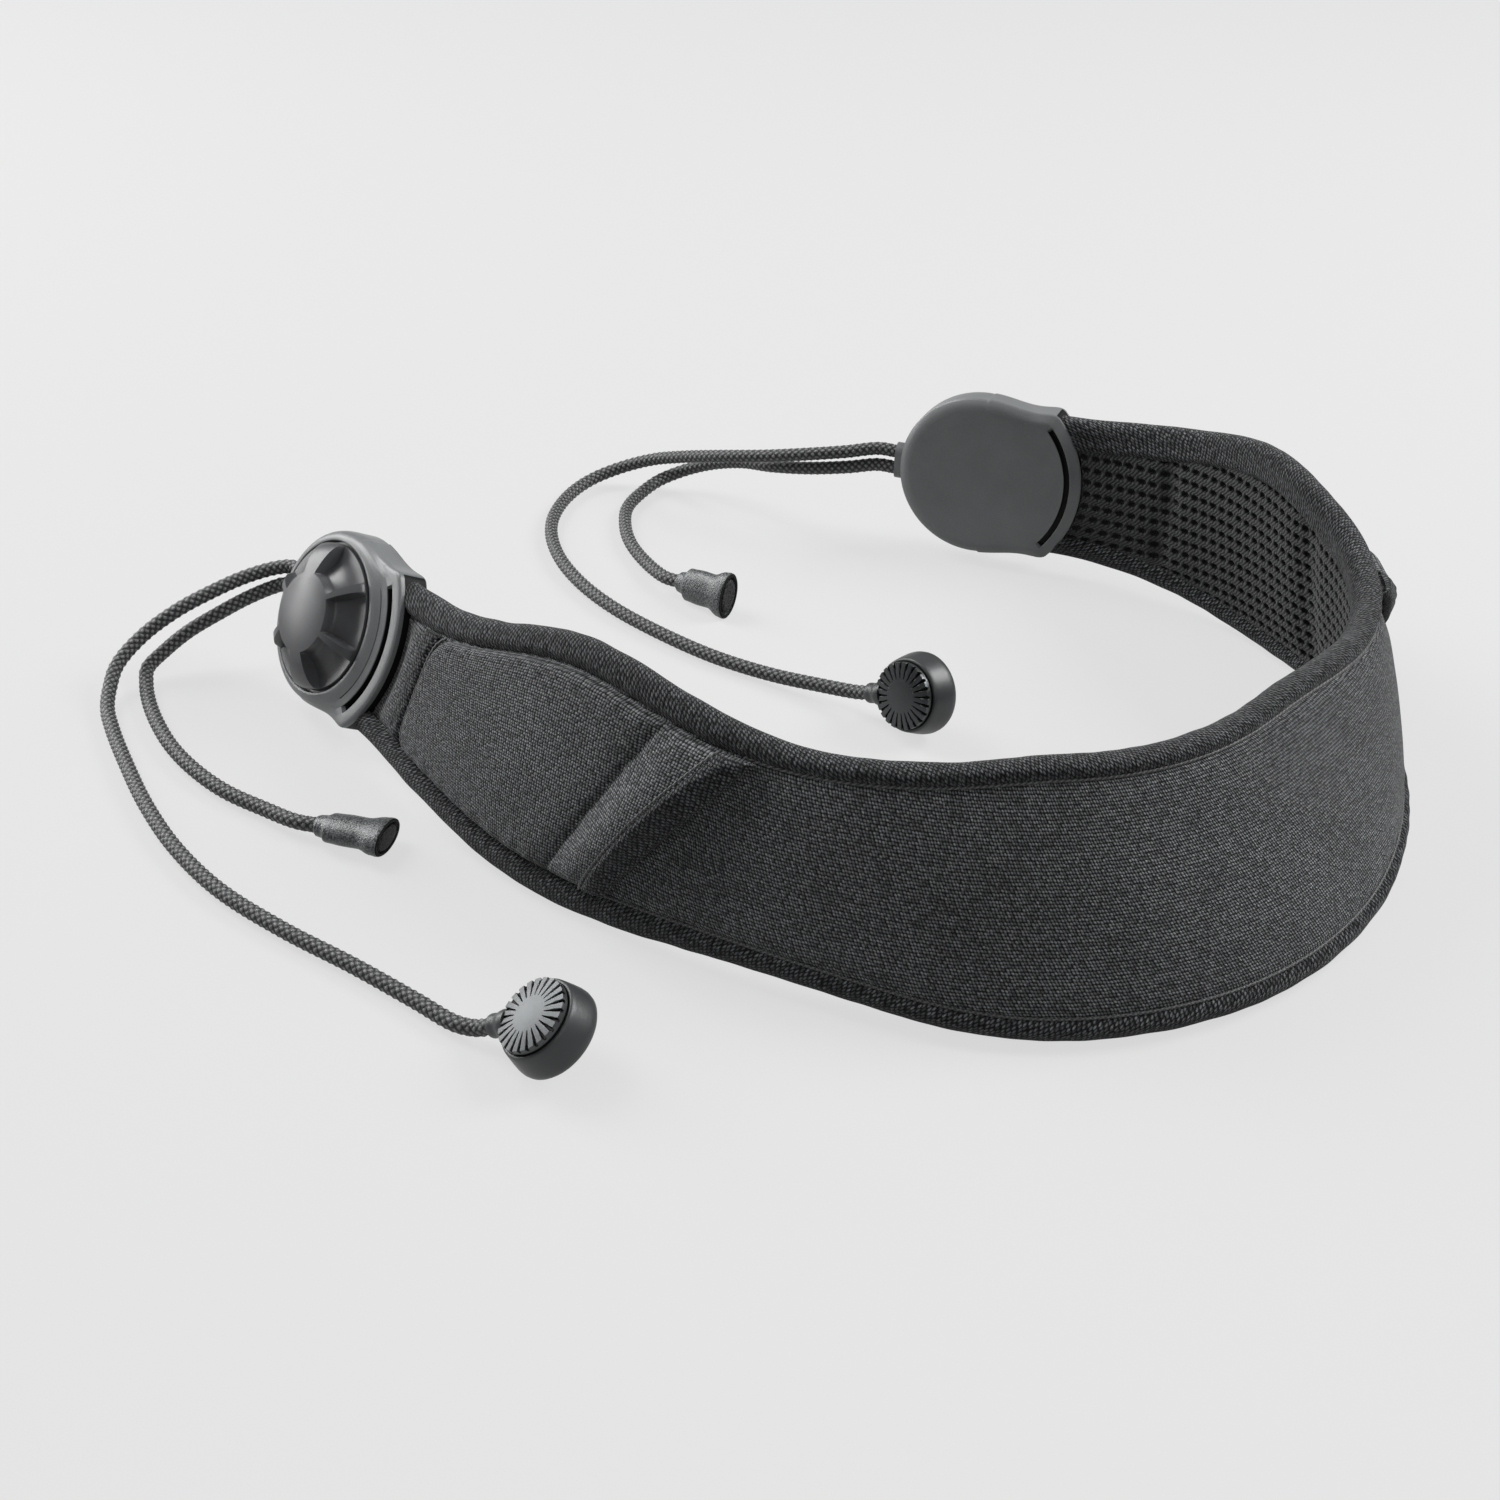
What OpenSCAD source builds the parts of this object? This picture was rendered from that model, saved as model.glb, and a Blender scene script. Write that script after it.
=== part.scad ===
// Padded neck strap for a binocular, standing on its lower edge in a horseshoe.
// A round adjuster on each end clamps a braided cord. One end of the cord carries
// a twist connector and the other a flared stopper.
// Millimetres, +Z up, origin under the middle of the strap and its adjusters.

/* [Strap] */
// Width at the two pads and behind the neck
strap_w = 64; // [60:0.5:68]
// Width at the waist between a pad and the neck panel
waist_w = 53.5; // [48:0.5:58]
// Thickness of the bound edge
edge_t = 7.2; // [6.6:0.1:8.4]
// Thickness of the knit outer panel
panel_t = 1.6; // [1.2:0.1:1.8]
// Thickness of the mesh lining
mesh_t = 2; // [1.6:0.1:2.2]
// Swell of the outer face at mid width
outer_crown = 1.6; // [0.6:0.1:3]
// Swell of the lining at mid width
lining_crown = 1.2; // [0.4:0.1:2.4]
// Reach of the binding tape over each face
binding_w = 6.5; // [5:0.1:7.5]
// Thickness of the binding tape
binding_t = 0.9; // [0.6:0.1:1]
// Share of the width lost at a narrow place that lifts the lower edge
edge_lift = 0.6; // [0.5:0.05:0.8]

/* [Pockets and seams] */
// Distance from the strap's end to the pocket mouth
pocket_mouth = 112; // [104:1:118]
// Distance from the strap's end to the crease across the pocket
pocket_crease = 91; // [82:1:94]
// Lead of the pocket mouth's upper end and lag of its lower one
mouth_slant = 16; // [0:1:20]
// Thickness of the pocket panel
pocket_t = 1.4; // [1:0.1:1.8]
// Depth of the crease
crease_depth = 0.7; // [0.3:0.1:0.9]
// Width of the tapes across the strap
cross_tape_w = 5; // [4:0.5:7]
// Thickness of the tapes across the strap
cross_tape_t = 0.8; // [0.5:0.1:1.2]
// Distance from the strap's end to the cross seam
seam_at = 10; // [8:0.5:12]
// Distance from the strap's end to the lining's first sewn channel; the second is under the crease
first_channel = 28; // [22:1:40]
// Depth of a sewn channel
channel_depth = 0.9; // [0.4:0.1:1.2]

/* [Adjuster housing] */
// Radius of the round housing
housing_r = 24; // [23:0.1:26]
// Distance from the knob's axis to the edge that meets the strap
housing_reach = 32; // [31:0.1:35]
// Width of the flange that holds the strap
flange_w = 44.6; // [43:0.2:46]
// Thickness of the back cover
cover_t = 1.6; // [1.2:0.1:2]
// Thickness of the front wall under the knob
front_t = 1.8; // [1.4:0.1:2.4]
// Radius of the space for the clamp
cavity_r = 17; // [16:0.1:18]
// Rounding of the front shoulder
shoulder_r = 3.2; // [2:0.1:3.6]
// Radius of the line that the grooves follow
groove_r = 27.4; // [27:0.1:28.4]
// Width of the groove on the front
front_groove_w = 1.4; // [0.8:0.1:2]
// Width of the slot in the back cover
back_slot_w = 2; // [1.2:0.1:2.4]
// Half the sweep of a groove in degrees
groove_sweep = 40; // [30:1:42]

/* [Knob and clamp] */
// Radius of the knob's rim
knob_r = 20; // [18.5:0.1:20.5]
// Height of the knob
knob_h = 8.4; // [7:0.1:10]
// Radius of the bare cap inside the scoops
cap_r = 10.8; // [9.5:0.1:12]
// Angle between two scoops of a group
scoop_step = 54; // [50:1:56]
// Width of a scoop in degrees
scoop_width = 45; // [40:1:46]
// Turn of the knob in the picture
knob_turn = 18; // [0:1:45]
// Radius of the knob's axle
axle_r = 1.5; // [1.2:0.05:1.8]
// Radius of the knob's hub
hub_r = 5; // [4.4:0.1:5.4]
// Radius of the hub's spigot in the cam
spigot_r = 3; // [2.6:0.1:3.4]
// Radius of the cam
cam_r = 13; // [12.5:0.1:14]
// Thickness of the cam
cam_t = 1.8; // [1.4:0.1:2.4]
// Distance from the axis to the shoe's pin when clamped
pin_at = 10.2; // [10:0.1:11]
// Radius of the shoe's pin
pin_r = 1; // [0.8:0.05:1.1]
// Travel of the shoe over a quarter turn
shoe_travel = 1.8; // [1:0.1:2]
// Radius of the post that the cord runs round
post_r = 4.6; // [4:0.1:4.8]

/* [Cords] */
// Diameter of the braided cord
cord_d = 4; // [3.4:0.1:4.2]
// Distance between the two cords where they come out
cord_pitch = 5.2; // [5:0.1:5.8]
// Wall round a cord in the gland
gland_wall = 0.85; // [0.6:0.05:1]
// Reach of the gland out of the housing
gland_out = 2; // [1.5:0.1:4]

/* [Connector] */
// Radius of the collar at its widest
collar_base_r = 11.2; // [10.8:0.1:12.4]
// Radius of the collar under the dial
collar_top_r = 9.7; // [9.3:0.1:10.4]
// Height of the collar
collar_h = 6.5; // [6.4:0.1:8]
// Radius of the dial
dial_r = 9.1; // [8:0.1:9.3]
// Thickness of the dial
dial_t = 2.2; // [1.9:0.1:3]
// Number of grooves in the dial
dial_grooves = 24; // [16:1:30]
// Radius of the socket's bore
socket_bore_r = 5; // [4:0.1:5.6]
// Depth of the socket's bore
socket_depth = 4; // [3:0.1:4.2]
// Wall of the socket
socket_wall = 2.4; // [1.6:0.1:2.6]
// Radius of the pin that joins dial and socket
joint_pin_r = 2.4; // [2:0.1:3]
// Thickness of the stem's eye
eye_t = 1.6; // [1.4:0.1:2.4]
// Length of the ferrule that takes the cord
ferrule_l = 4; // [3:0.5:6]

/* [Stopper] */
// Length of the stopper
stopper_l = 19.5; // [16:0.5:26]
// Width of the stopper's flared end
stopper_flare_w = 13; // [11:0.1:14]
// Width of the stopper's body
stopper_body_w = 8.8; // [7.5:0.1:9.5]

/* [Hidden] */
$fn = 64;
node = "all";
NODES = [
    "outer_shell", "foam_core", "mesh_lining", "upper_binding", "lower_binding",
    "left_pocket_panel", "left_pocket_binding", "left_seam_tape", "left_end_tab", "left_tab_rod",
    "left_front_shell", "left_back_cover", "left_knob", "left_knob_axle", "left_cam", "left_clamp_shoe",
    "left_friction_ring", "left_cord_guide", "left_cord_loop", "left_long_cord", "left_short_cord",
    "left_stopper_sleeve", "left_stopper_plug", "left_connector_stem", "left_connector_collar",
    "left_connector_dial", "left_bayonet_socket", "left_connector_pin",
    "right_pocket_panel", "right_pocket_binding", "right_seam_tape", "right_end_tab", "right_tab_rod",
    "right_front_shell", "right_back_cover", "right_knob", "right_knob_axle", "right_cam", "right_clamp_shoe",
    "right_friction_ring", "right_cord_guide", "right_cord_loop", "right_long_cord", "right_short_cord",
    "right_stopper_sleeve", "right_stopper_plug", "right_connector_stem", "right_connector_collar",
    "right_connector_dial", "right_bayonet_socket", "right_connector_pin"];

// Clearances: between sewn layers, for fixed fits, for turning pins and for moving faces
layer_gap = 0.1;
fit_gap = 0.05;
turn_gap = 0.05;
move_gap = 0.3;

// Colours of the finishes
knit_c = "#3a3b3d";
tape_c = "#2b2c2e";
mesh_c = "#1d1e20";
foam_c = "#8a8a86";
shell_c = "#4a4b4d";
cover_c = "#454748";
black_c = "#1a1a1b";
steel_c = "#b4b6b8";
rubber_c = "#3c3e40";
cord_c = "#2e2f31";

// Lower edge in plan, from the left end to the right one: each run's length and turn
near_end = [-99.7, -6.6];
near_heading = -53;
plan_runs = [[12.6, -2], [99, 23], [62, 12], [107, 66], [200, 98], [22, 15]];
strap_l = sum_of([for (r = plan_runs) r[0]]);
far_heading = near_heading + sum_of([for (r = plan_runs) r[1]]);

// Lean of the strap's face along its length: distance and degrees, positive with the face turned up
lean_knots = [[0, 29], [120, 22], [280, 29], [405, 10], [strap_l, -6]];
end_inset = 0.8;
strap_end_w = flange_w - 2 * end_inset;
width_knots = [[0, strap_end_w], [75, strap_w], [140, waist_w], [210, strap_w]];
edge_r = edge_t / 2;
station_step = 13;
end_fade = 35;
core_start = 12;
core_gap = 0.3;

function sum_of(v, i = 0) = i < len(v) ? v[i] + sum_of(v, i + 1) : 0;
function unit(v) = v / norm(v);
function eased(knots, x, i = 0) =
    x <= knots[0][0] ? knots[0][1]
    : i == len(knots) - 1 ? knots[i][1]
    : x > knots[i + 1][0] ? eased(knots, x, i + 1)
    : let (t = (x - knots[i][0]) / (knots[i + 1][0] - knots[i][0]))
      knots[i][1] + (knots[i + 1][1] - knots[i][1]) * t * t * (3 - 2 * t);

// Plan point and heading at a distance along the lower edge, straight past both ends
function arc_step(l, a, h) =
    let (r = l * 180 / (a * PI)) r * [sin(h + a) - sin(h), cos(h) - cos(h + a)];
function plan_at(s, i = 0, p = near_end, h = near_heading) =
    s <= 0 || i == len(plan_runs) ? [p + s * [cos(h), sin(h)], h]
    : let (l = plan_runs[i][0], a = plan_runs[i][1])
      s < l ? [p + arc_step(s, a * s / l, h), h + a * s / l]
      : plan_at(s - l, i + 1, p + arc_step(l, a, h), h + a);

function end_distance(s) = min(max(s, 0), max(strap_l - s, 0));
function width_at(s) = eased(width_knots, end_distance(s));
function out_dir(h) = [sin(h), -cos(h), 0];
function face_dir(h, lean) = cos(lean) * out_dir(h) + [0, 0, sin(lean)];
function rise_dir(h, lean) = [0, 0, cos(lean)] - sin(lean) * out_dir(h);

// Point of the strap: distance along it, height on its face from mid width, height above its mid plane
function flat_pt(s, v, u) =
    let (q = plan_at(s), lean = eased(lean_knots, s), w = width_at(s))
    [q[0].x, q[0].y, edge_r]
    + rise_dir(q[1], lean) * (edge_lift * (strap_w - w) / 2 + w / 2 - edge_r + v)
    + face_dir(q[1], lean) * u;
// The strap's ends follow the round edge of the adjuster
function end_sag(v) = housing_reach - sqrt(pow(housing_reach, 2) - pow(min(abs(v), flange_w / 2), 2));
function strap_pt(s, v, u) =
    let (near = s < strap_l / 2, d = near ? s : strap_l - s, sag = end_sag(v) * max(0, 1 - d / end_fade))
    flat_pt(near ? s - sag : s + sag, v, u);

// Stations along the strap, with three at each sewn channel and pocket crease
channel_half = 3;
near_marks = [first_channel, pocket_crease];
marks = concat([0, core_start], [for (m = near_marks) for (d = [-1, 0, 1]) m + d * channel_half],
    [strap_l / 2], [for (i = [1:-1:0]) for (d = [-1, 0, 1]) strap_l - near_marks[i] + d * channel_half],
    [strap_l - core_start, strap_l]);
stations = concat([for (i = [0:len(marks) - 2])
    let (n = ceil((marks[i + 1] - marks[i]) / station_step))
    for (k = [0:n - 1]) marks[i] + (marks[i + 1] - marks[i]) * k / n], [strap_l]);
core_stations = [for (s = stations) if (s >= core_start && s <= strap_l - core_start) s];

function notch(s, places, depth) =
    max([for (p = places) depth * max(0, 1 - abs(end_distance(s) - p) / channel_half)]);

// Half section of the layers: under the tape, at the tape's lip, on the shoulder and at mid width
lip_rise = 2.2;
under_tape = edge_r - binding_t - layer_gap;
shoulder = edge_r - 0.2;
function lip_at(s) = width_at(s) / 2 - binding_w - layer_gap;
function layer_vs(s) =
    let (a = width_at(s) / 2 - edge_r, b = lip_at(s), c = b - lip_rise)
    [-a, -b, -c, -c / 2, 0, c / 2, c, b, a];
function swell(s, v, crown) =
    let (c = lip_at(s) - lip_rise)
    abs(v) > c + 0.01 ? under_tape : shoulder + crown * (1 - pow(v / c, 2));
function outer_face(s, v) = swell(s, v, outer_crown);
function lining_face(s, v) =
    abs(v) > lip_at(s) - lip_rise + 0.01 ? -under_tape
    : notch(s, near_marks, channel_depth) - swell(s, v, lining_crown);

// Skin over rings that are each two lines of k points, one out and one back
function band_ring(front, back) = concat(front, [for (i = [len(back) - 1:-1:0]) back[i]]);
function band_faces(n, k, flip) =
    let (m = 2 * k, last = (n - 1) * m,
        sides = [for (i = [0:n - 2]) for (j = [0:m - 1])
            let (a = i * m + j, b = i * m + (j + 1) % m) each [[a, a + m, b], [b, a + m, b + m]]],
        caps = [for (j = [0:k - 2])
            let (c = m - 1 - j) each [[j, j + 1, c], [j + 1, c - 1, c],
                [last + j, last + c, last + j + 1], [last + j + 1, last + c, last + c - 1]]])
    [for (f = concat(sides, caps)) flip ? f : [f[2], f[1], f[0]]];
module band(rings, flip = false) {
    polyhedron(points = [for (r = rings) each r],
        faces = band_faces(len(rings), len(rings[0]) / 2, flip), convexity = 10);
}

// Skin over rings that are plain closed loops
function tube_faces(n, m) = concat(
    [for (i = [0:n - 2]) for (j = [0:m - 1])
        let (a = i * m + j, b = i * m + (j + 1) % m) each [[a, a + m, b], [b, a + m, b + m]]],
    [[for (j = [0:m - 1]) j]], [[for (j = [m - 1:-1:0]) (n - 1) * m + j]]);
module loft(rings) {
    polyhedron(points = [for (r = rings) each r], faces = tube_faces(len(rings), len(rings[0])), convexity = 10);
}

// A tube along a list of points, its rings square to the route
cord_sides = 10;
function route_dir(p, i) = unit(p[min(i + 1, len(p) - 1)] - p[max(i - 1, 0)]);
function tube_ring(p, i, r) =
    let (t = route_dir(p, i), side = unit(cross(t, [0, 0, 1])), top = cross(side, t))
    [for (j = [0:cord_sides - 1]) let (a = -360 * j / cord_sides) p[i] + r * (cos(a) * side + sin(a) * top)];
module tube(p, r) {
    loft([for (i = [0:len(p) - 1]) tube_ring(p, i, r)]);
}
function route_length(p) = sum_of([for (i = [1:len(p) - 1]) norm(p[i] - p[i - 1])]);

// Levels inside an adjuster, from the back cover out to the knob
cord_r = cord_d / 2;
gland_r = cord_r + turn_gap * 2 + gland_wall;
back_z = -6;
cover_in = back_z + cover_t;
joint_z = cover_in + fit_gap;
cord_z = joint_z + gland_r;
cam_z = cord_z + cord_r + move_gap + 0.1;
front_in = cam_z + cam_t + move_gap + 0.1;
front_z = front_in + front_t;
knob_z = front_z + move_gap;
flange_top = front_z - 1.2;
strap_plane = (back_z + flange_top) / 2;
strap_gap = 0.3;
gland_x = housing_r + gland_out;

// Place of an adjuster: its axis is beyond the strap's end, square to the strap's face there
function is_left(side) = side == "left";
function end_s(side) = is_left(side) ? 0 : strap_l;
function heading(side) = is_left(side) ? near_heading + 180 : far_heading;
function lean(side) = eased(lean_knots, end_s(side));
function axis_dir(side) = face_dir(is_left(side) ? near_heading : far_heading, lean(side));
function cord_dir(side) = [cos(heading(side)), sin(heading(side)), 0];
function axis_pt(side) =
    flat_pt(end_s(side), 0, -strap_plane) + (housing_reach + strap_gap) * cord_dir(side);
function adjuster_pt(side, x, y, z) =
    axis_pt(side) + x * cord_dir(side) + y * cross(axis_dir(side), cord_dir(side)) + z * axis_dir(side);

// Middle of the strap and adjusters, which the origin stands under
box_pts = concat(
    [for (s = stations) for (v = [-1, 1]) for (u = [-1, 1])
        strap_pt(s, v * (width_at(s) / 2 - edge_r * (1 - sqrt(0.5))), u * edge_r)],
    [for (s = stations) strap_pt(s, 0, outer_face(s, 0) + pocket_t)],
    [for (side = ["left", "right"]) for (a = [0:10:350])
        each [adjuster_pt(side, housing_r * cos(a), housing_r * sin(a), back_z),
              adjuster_pt(side, knob_r * cos(a), knob_r * sin(a), knob_z),
              adjuster_pt(side, cap_r * cos(a), cap_r * sin(a), knob_z + knob_h)]],
    [for (side = ["left", "right"]) for (y = [-1, 1]) for (z = [-1, 1])
        adjuster_pt(side, gland_x, y * (cord_pitch / 2 + gland_r), cord_z + z * gland_r)]);
function middle(k) = (min([for (p = box_pts) p[k]]) + max([for (p = box_pts) p[k]])) / 2;
origin_shift = [-middle(0), -middle(1), 0];

module on_strap() {
    translate(origin_shift) children();
}
module on_adjuster(side) {
    translate(origin_shift + axis_pt(side))
        rotate([0, 0, heading(side)])
        rotate([is_left(side) ? lean(side) - 90 : 90 - lean(side), 0, 0])
        children();
}

// The strap's sewn layers
module outer_shell() {
    color(knit_c) on_strap() band([for (s = stations) band_ring(
        [for (v = layer_vs(s)) strap_pt(s, v, outer_face(s, v))],
        [for (v = layer_vs(s)) strap_pt(s, v, outer_face(s, v) - panel_t)])]);
}
module foam_core() {
    color(foam_c) on_strap() band([for (s = core_stations) band_ring(
        [for (v = layer_vs(s)) strap_pt(s, v, outer_face(s, v) - panel_t - core_gap)],
        [for (v = layer_vs(s)) strap_pt(s, v, lining_face(s, v) + mesh_t + core_gap)])]);
}
module mesh_lining() {
    color(mesh_c) on_strap() band([for (s = stations) band_ring(
        [for (v = layer_vs(s)) strap_pt(s, v, lining_face(s, v) + mesh_t)],
        [for (v = layer_vs(s)) strap_pt(s, v, lining_face(s, v))])]);
}
// Binding tape: folded round an edge, reaching over both faces
module binding(edge) {
    function fold(s, r) =
        let (h = width_at(s) / 2)
        concat([[h - binding_w, r]],
            [for (a = [90:-30:-90]) [h - edge_r + r * cos(a), r * sin(a)]],
            [[h - binding_w, -r]]);
    function line(s, r) = [for (q = fold(s, r)) strap_pt(s, edge * q[0], q[1])];
    color(tape_c) on_strap()
        band([for (s = stations) band_ring(line(s, edge_r), line(s, edge_r - binding_t))], edge < 0);
}

// Pieces sewn on the outer face of a pad
function along(side, d) = is_left(side) ? d : strap_l - d;
pocket_start = seam_at + cross_tape_w + 0.5;
pocket_stations = concat([pocket_start], [for (s = stations) if (s > pocket_start + 1 && s < pocket_mouth - 1) s],
    [pocket_mouth]);
pocket_gap = 0.6;
across = [-1, -0.85, -0.5, 0, 0.5, 0.85, 1];
function slanted(d, f) = d + mouth_slant * f * max(0, d - pocket_start) / (pocket_mouth - pocket_start);
function pad_pt(side, d, f, u) =
    let (s = along(side, d), v = f * (lip_at(s) - 0.4)) strap_pt(s, v, outer_face(s, v) + pocket_gap + u);
function pocket_pt(side, d, f, u) = pad_pt(side, slanted(d, f), f, u);
function pocket_top(d) = pocket_t - notch(d, [pocket_crease], crease_depth);
module pocket_panel(side) {
    color(knit_c) on_strap() band([for (d = pocket_stations) band_ring(
        [for (f = across) pocket_pt(side, d, f, pocket_top(d))], [for (f = across) pocket_pt(side, d, f, 0)])],
        !is_left(side));
}
module pocket_binding(side) {
    back = pocket_mouth - cross_tape_w;
    front = pocket_mouth + layer_gap;
    low = pocket_t + 3 * layer_gap;
    top = low + cross_tape_t;
    color(tape_c) on_strap() band([for (f = across) band_ring(
        [pocket_pt(side, back, f, top), pocket_pt(side, front + cross_tape_t, f, top),
            pocket_pt(side, front + cross_tape_t, f, 0)],
        [pocket_pt(side, back, f, low), pocket_pt(side, front, f, low), pocket_pt(side, front, f, 0)])],
        is_left(side));
}
module seam_tape(side) {
    color(tape_c) on_strap() band([for (f = across) band_ring(
        [for (d = [seam_at, seam_at + cross_tape_w]) pad_pt(side, d, f, cross_tape_t)],
        [for (d = [seam_at, seam_at + cross_tape_w]) pad_pt(side, d, f, 0)])], is_left(side));
}

// Webbing tab in the strap's end, held in the housing by a wire through its hem
tab_w = strap_end_w - 18;
tab_t = 2.2;
hem_x = -21.4;
hem_r = 1.9;
tab_rod_r = 0.75;
tab_sewn_l = 7;
module end_tab() {
    tab_end = housing_reach + strap_gap + tab_sewn_l;
    color(black_c) difference() {
        union() {
            translate([-tab_end, -tab_w / 2, strap_plane - tab_t / 2]) cube([tab_end + hem_x, tab_w, tab_t]);
            translate([hem_x, tab_w / 2, strap_plane]) rotate([90, 0, 0]) cylinder(r = hem_r, h = tab_w);
        }
        translate([hem_x, tab_w, strap_plane]) rotate([90, 0, 0])
            cylinder(r = tab_rod_r + fit_gap, h = 2 * tab_w);
    }
}
module tab_rod() {
    color(steel_c) translate([hem_x, tab_w / 2, strap_plane]) rotate([90, 0, 0])
        cylinder(r = tab_rod_r, h = tab_w);
}

// Housing: a round body with a flange whose edge is round the same axis
module flange_outline() {
    intersection() {
        circle(r = housing_reach, $fn = 128);
        polygon([[0, 0], [-6, -flange_w / 2 + 0.6], [-housing_reach, -flange_w / 2 - 0.9],
            [-housing_reach, flange_w / 2 + 0.9], [-6, flange_w / 2 - 0.6]]);
    }
}
module housing_outline() {
    circle(r = housing_r, $fn = 128);
    flange_outline();
}
module arc_slot(r, w, sweep) {
    rotate(180 - sweep) rotate_extrude(angle = 2 * sweep, $fn = 128) translate([r - w / 2, 0]) square([w, 4]);
}
peg_at = [-12, 18.2];
peg_r = 1.2;
peg_h = 3;
collar_wall = 1;
collar_t = 2;
collar_x = [cavity_r + collar_wall, cavity_r + collar_wall + collar_t];
collar_y = 7.2;
module gland_shape(grow, x0, x1) {
    for (y = [-1, 1])
        translate([x0, y * cord_pitch / 2, cord_z]) rotate([0, 90, 0]) cylinder(r = gland_r + grow, h = x1 - x0);
    translate([x0, -cord_pitch / 2, cord_z - gland_r - grow])
        cube([x1 - x0, cord_pitch, 2 * (gland_r + grow)]);
}
ring_r = 7.6;
ring_t = 1.4;
module front_shell() {
    arc = [for (a = [0:15:90])
        [housing_r - shoulder_r + shoulder_r * cos(a), front_z - shoulder_r + shoulder_r * sin(a)]];
    color(shell_c) difference() {
        union() {
            rotate_extrude($fn = 128) polygon(concat([[0, joint_z], [housing_r, joint_z]], arc, [[0, front_z]]));
            translate([0, 0, joint_z]) linear_extrude(flange_top - joint_z) flange_outline();
        }
        translate([0, 0, joint_z - 1]) cylinder(r = cavity_r, h = front_in - joint_z + 1);
        translate([0, 0, front_in - 1]) cylinder(r = hub_r + move_gap, h = front_t + 2);
        translate([0, 0, front_z - ring_t]) rotate_extrude()
            translate([ring_r - ring_t / 2 - fit_gap, 0]) square([ring_t + 2 * fit_gap, ring_t + 1]);
        translate([0, 0, flange_top - 0.9]) arc_slot(groove_r, front_groove_w, groove_sweep);
        translate([-housing_reach - 1, -tab_w / 2 - layer_gap, strap_plane - tab_t / 2 - layer_gap])
            cube([housing_reach + 1 + hem_x, tab_w + 2 * layer_gap, tab_t + 2 * layer_gap]);
        translate([hem_x, tab_w / 2 + layer_gap, strap_plane]) rotate([90, 0, 0])
            cylinder(r = hem_r + layer_gap, h = tab_w + 2 * layer_gap);
        gland_shape(fit_gap, cavity_r - 3, housing_r + 1);
        translate([cavity_r - 3, -cord_pitch / 2 - gland_r - fit_gap, joint_z - 1])
            cube([housing_r + 4 - cavity_r, cord_pitch + 2 * (gland_r + fit_gap), gland_r + 1]);
        translate([collar_x[0] - fit_gap, -collar_y - fit_gap, joint_z - 1])
            cube([collar_x[1] - collar_x[0] + 2 * fit_gap, 2 * (collar_y + fit_gap), 2 * gland_r + 1 + fit_gap]);
        for (y = [-1, 1])
            translate([peg_at[0], y * peg_at[1], joint_z - 1]) cylinder(r = peg_r + fit_gap, h = peg_h + 1.2);
    }
}
key_x = [6.5, 16];
key_w = 0.9;
key_h = 0.8;
module back_cover() {
    color(cover_c) difference() {
        union() {
            translate([0, 0, back_z]) linear_extrude(cover_t) housing_outline();
            translate([0, 0, cover_in - 0.5]) cylinder(r = post_r, h = cam_z - move_gap - cover_in + 0.5);
            translate([key_x[0], -key_w / 2, cover_in - 0.5]) cube([key_x[1] - key_x[0], key_w, key_h + 0.5]);
            for (y = [-1, 1])
                translate([peg_at[0], y * peg_at[1], cover_in - 0.5]) cylinder(r = peg_r, h = peg_h + 0.5);
        }
        translate([0, 0, cover_in - 0.6]) cylinder(r = axle_r + fit_gap, h = knob_z - back_z);
        translate([0, 0, back_z - 1]) arc_slot(groove_r, back_slot_w, groove_sweep);
    }
}
module cord_guide() {
    color(shell_c) difference() {
        union() {
            gland_shape(0, cavity_r + 0.6, gland_x);
            translate([collar_x[0], -collar_y, joint_z]) cube([collar_x[1] - collar_x[0], 2 * collar_y, 2 * gland_r]);
        }
        for (y = [-1, 1])
            translate([cavity_r, y * cord_pitch / 2, cord_z]) rotate([0, 90, 0])
                cylinder(r = cord_r + 2 * turn_gap, h = gland_x);
    }
}
module friction_ring() {
    color(black_c) translate([0, 0, front_z - ring_t / 2]) rotate_extrude()
        translate([ring_r, 0]) circle(r = ring_t / 2);
}

// Knob: a dome with two groups of three scoops, on a hub that carries the cam
rim_h = 0.9;
axle_top = knob_z + 4;
function dome(r) = rim_h + (knob_h - rim_h) * sqrt(max(0, 1 - pow(r / knob_r, 2)));
module knob() {
    dome_line = [for (t = [90:-10:0]) [knob_r * sin(t), dome(knob_r * sin(t))]];
    floor_line = [for (t = [0:0.2:1])
        [knob_r - 0.1 + (cap_r + 0.6 - knob_r) * t, rim_h + (dome(cap_r) - rim_h) * 0.8 * pow(t, 3)]];
    cap_line = [for (t = [1:-0.25:0]) [cap_r * t, dome(cap_r * t)]];
    color(shell_c) rotate(knob_turn) difference() {
        union() {
            translate([0, 0, knob_z]) rotate_extrude($fn = 128)
                polygon(concat([[0, 0], [knob_r, 0], [knob_r, rim_h]], floor_line, cap_line));
            translate([0, 0, knob_z]) intersection() {
                rotate_extrude($fn = 128) polygon(concat([[0, 0], [knob_r, 0]], dome_line));
                linear_extrude(knob_h + 1) for (g = [0, 180]) {
                    for (a = [-0.5, 0.5]) rib(g + a * scoop_step, (scoop_step - scoop_width) / 2);
                    rib(g + 90, 90 - scoop_step - scoop_width / 2);
                }
            }
            translate([0, 0, cam_z + cam_t]) cylinder(r = hub_r, h = knob_z - cam_z - cam_t + 0.5);
            translate([0, 0, cam_z]) cylinder(r = spigot_r, h = cam_t + 0.5);
        }
        translate([0, 0, cam_z - 1]) cylinder(r = axle_r + turn_gap, h = axle_top - cam_z + 1.2);
    }
}
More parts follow.
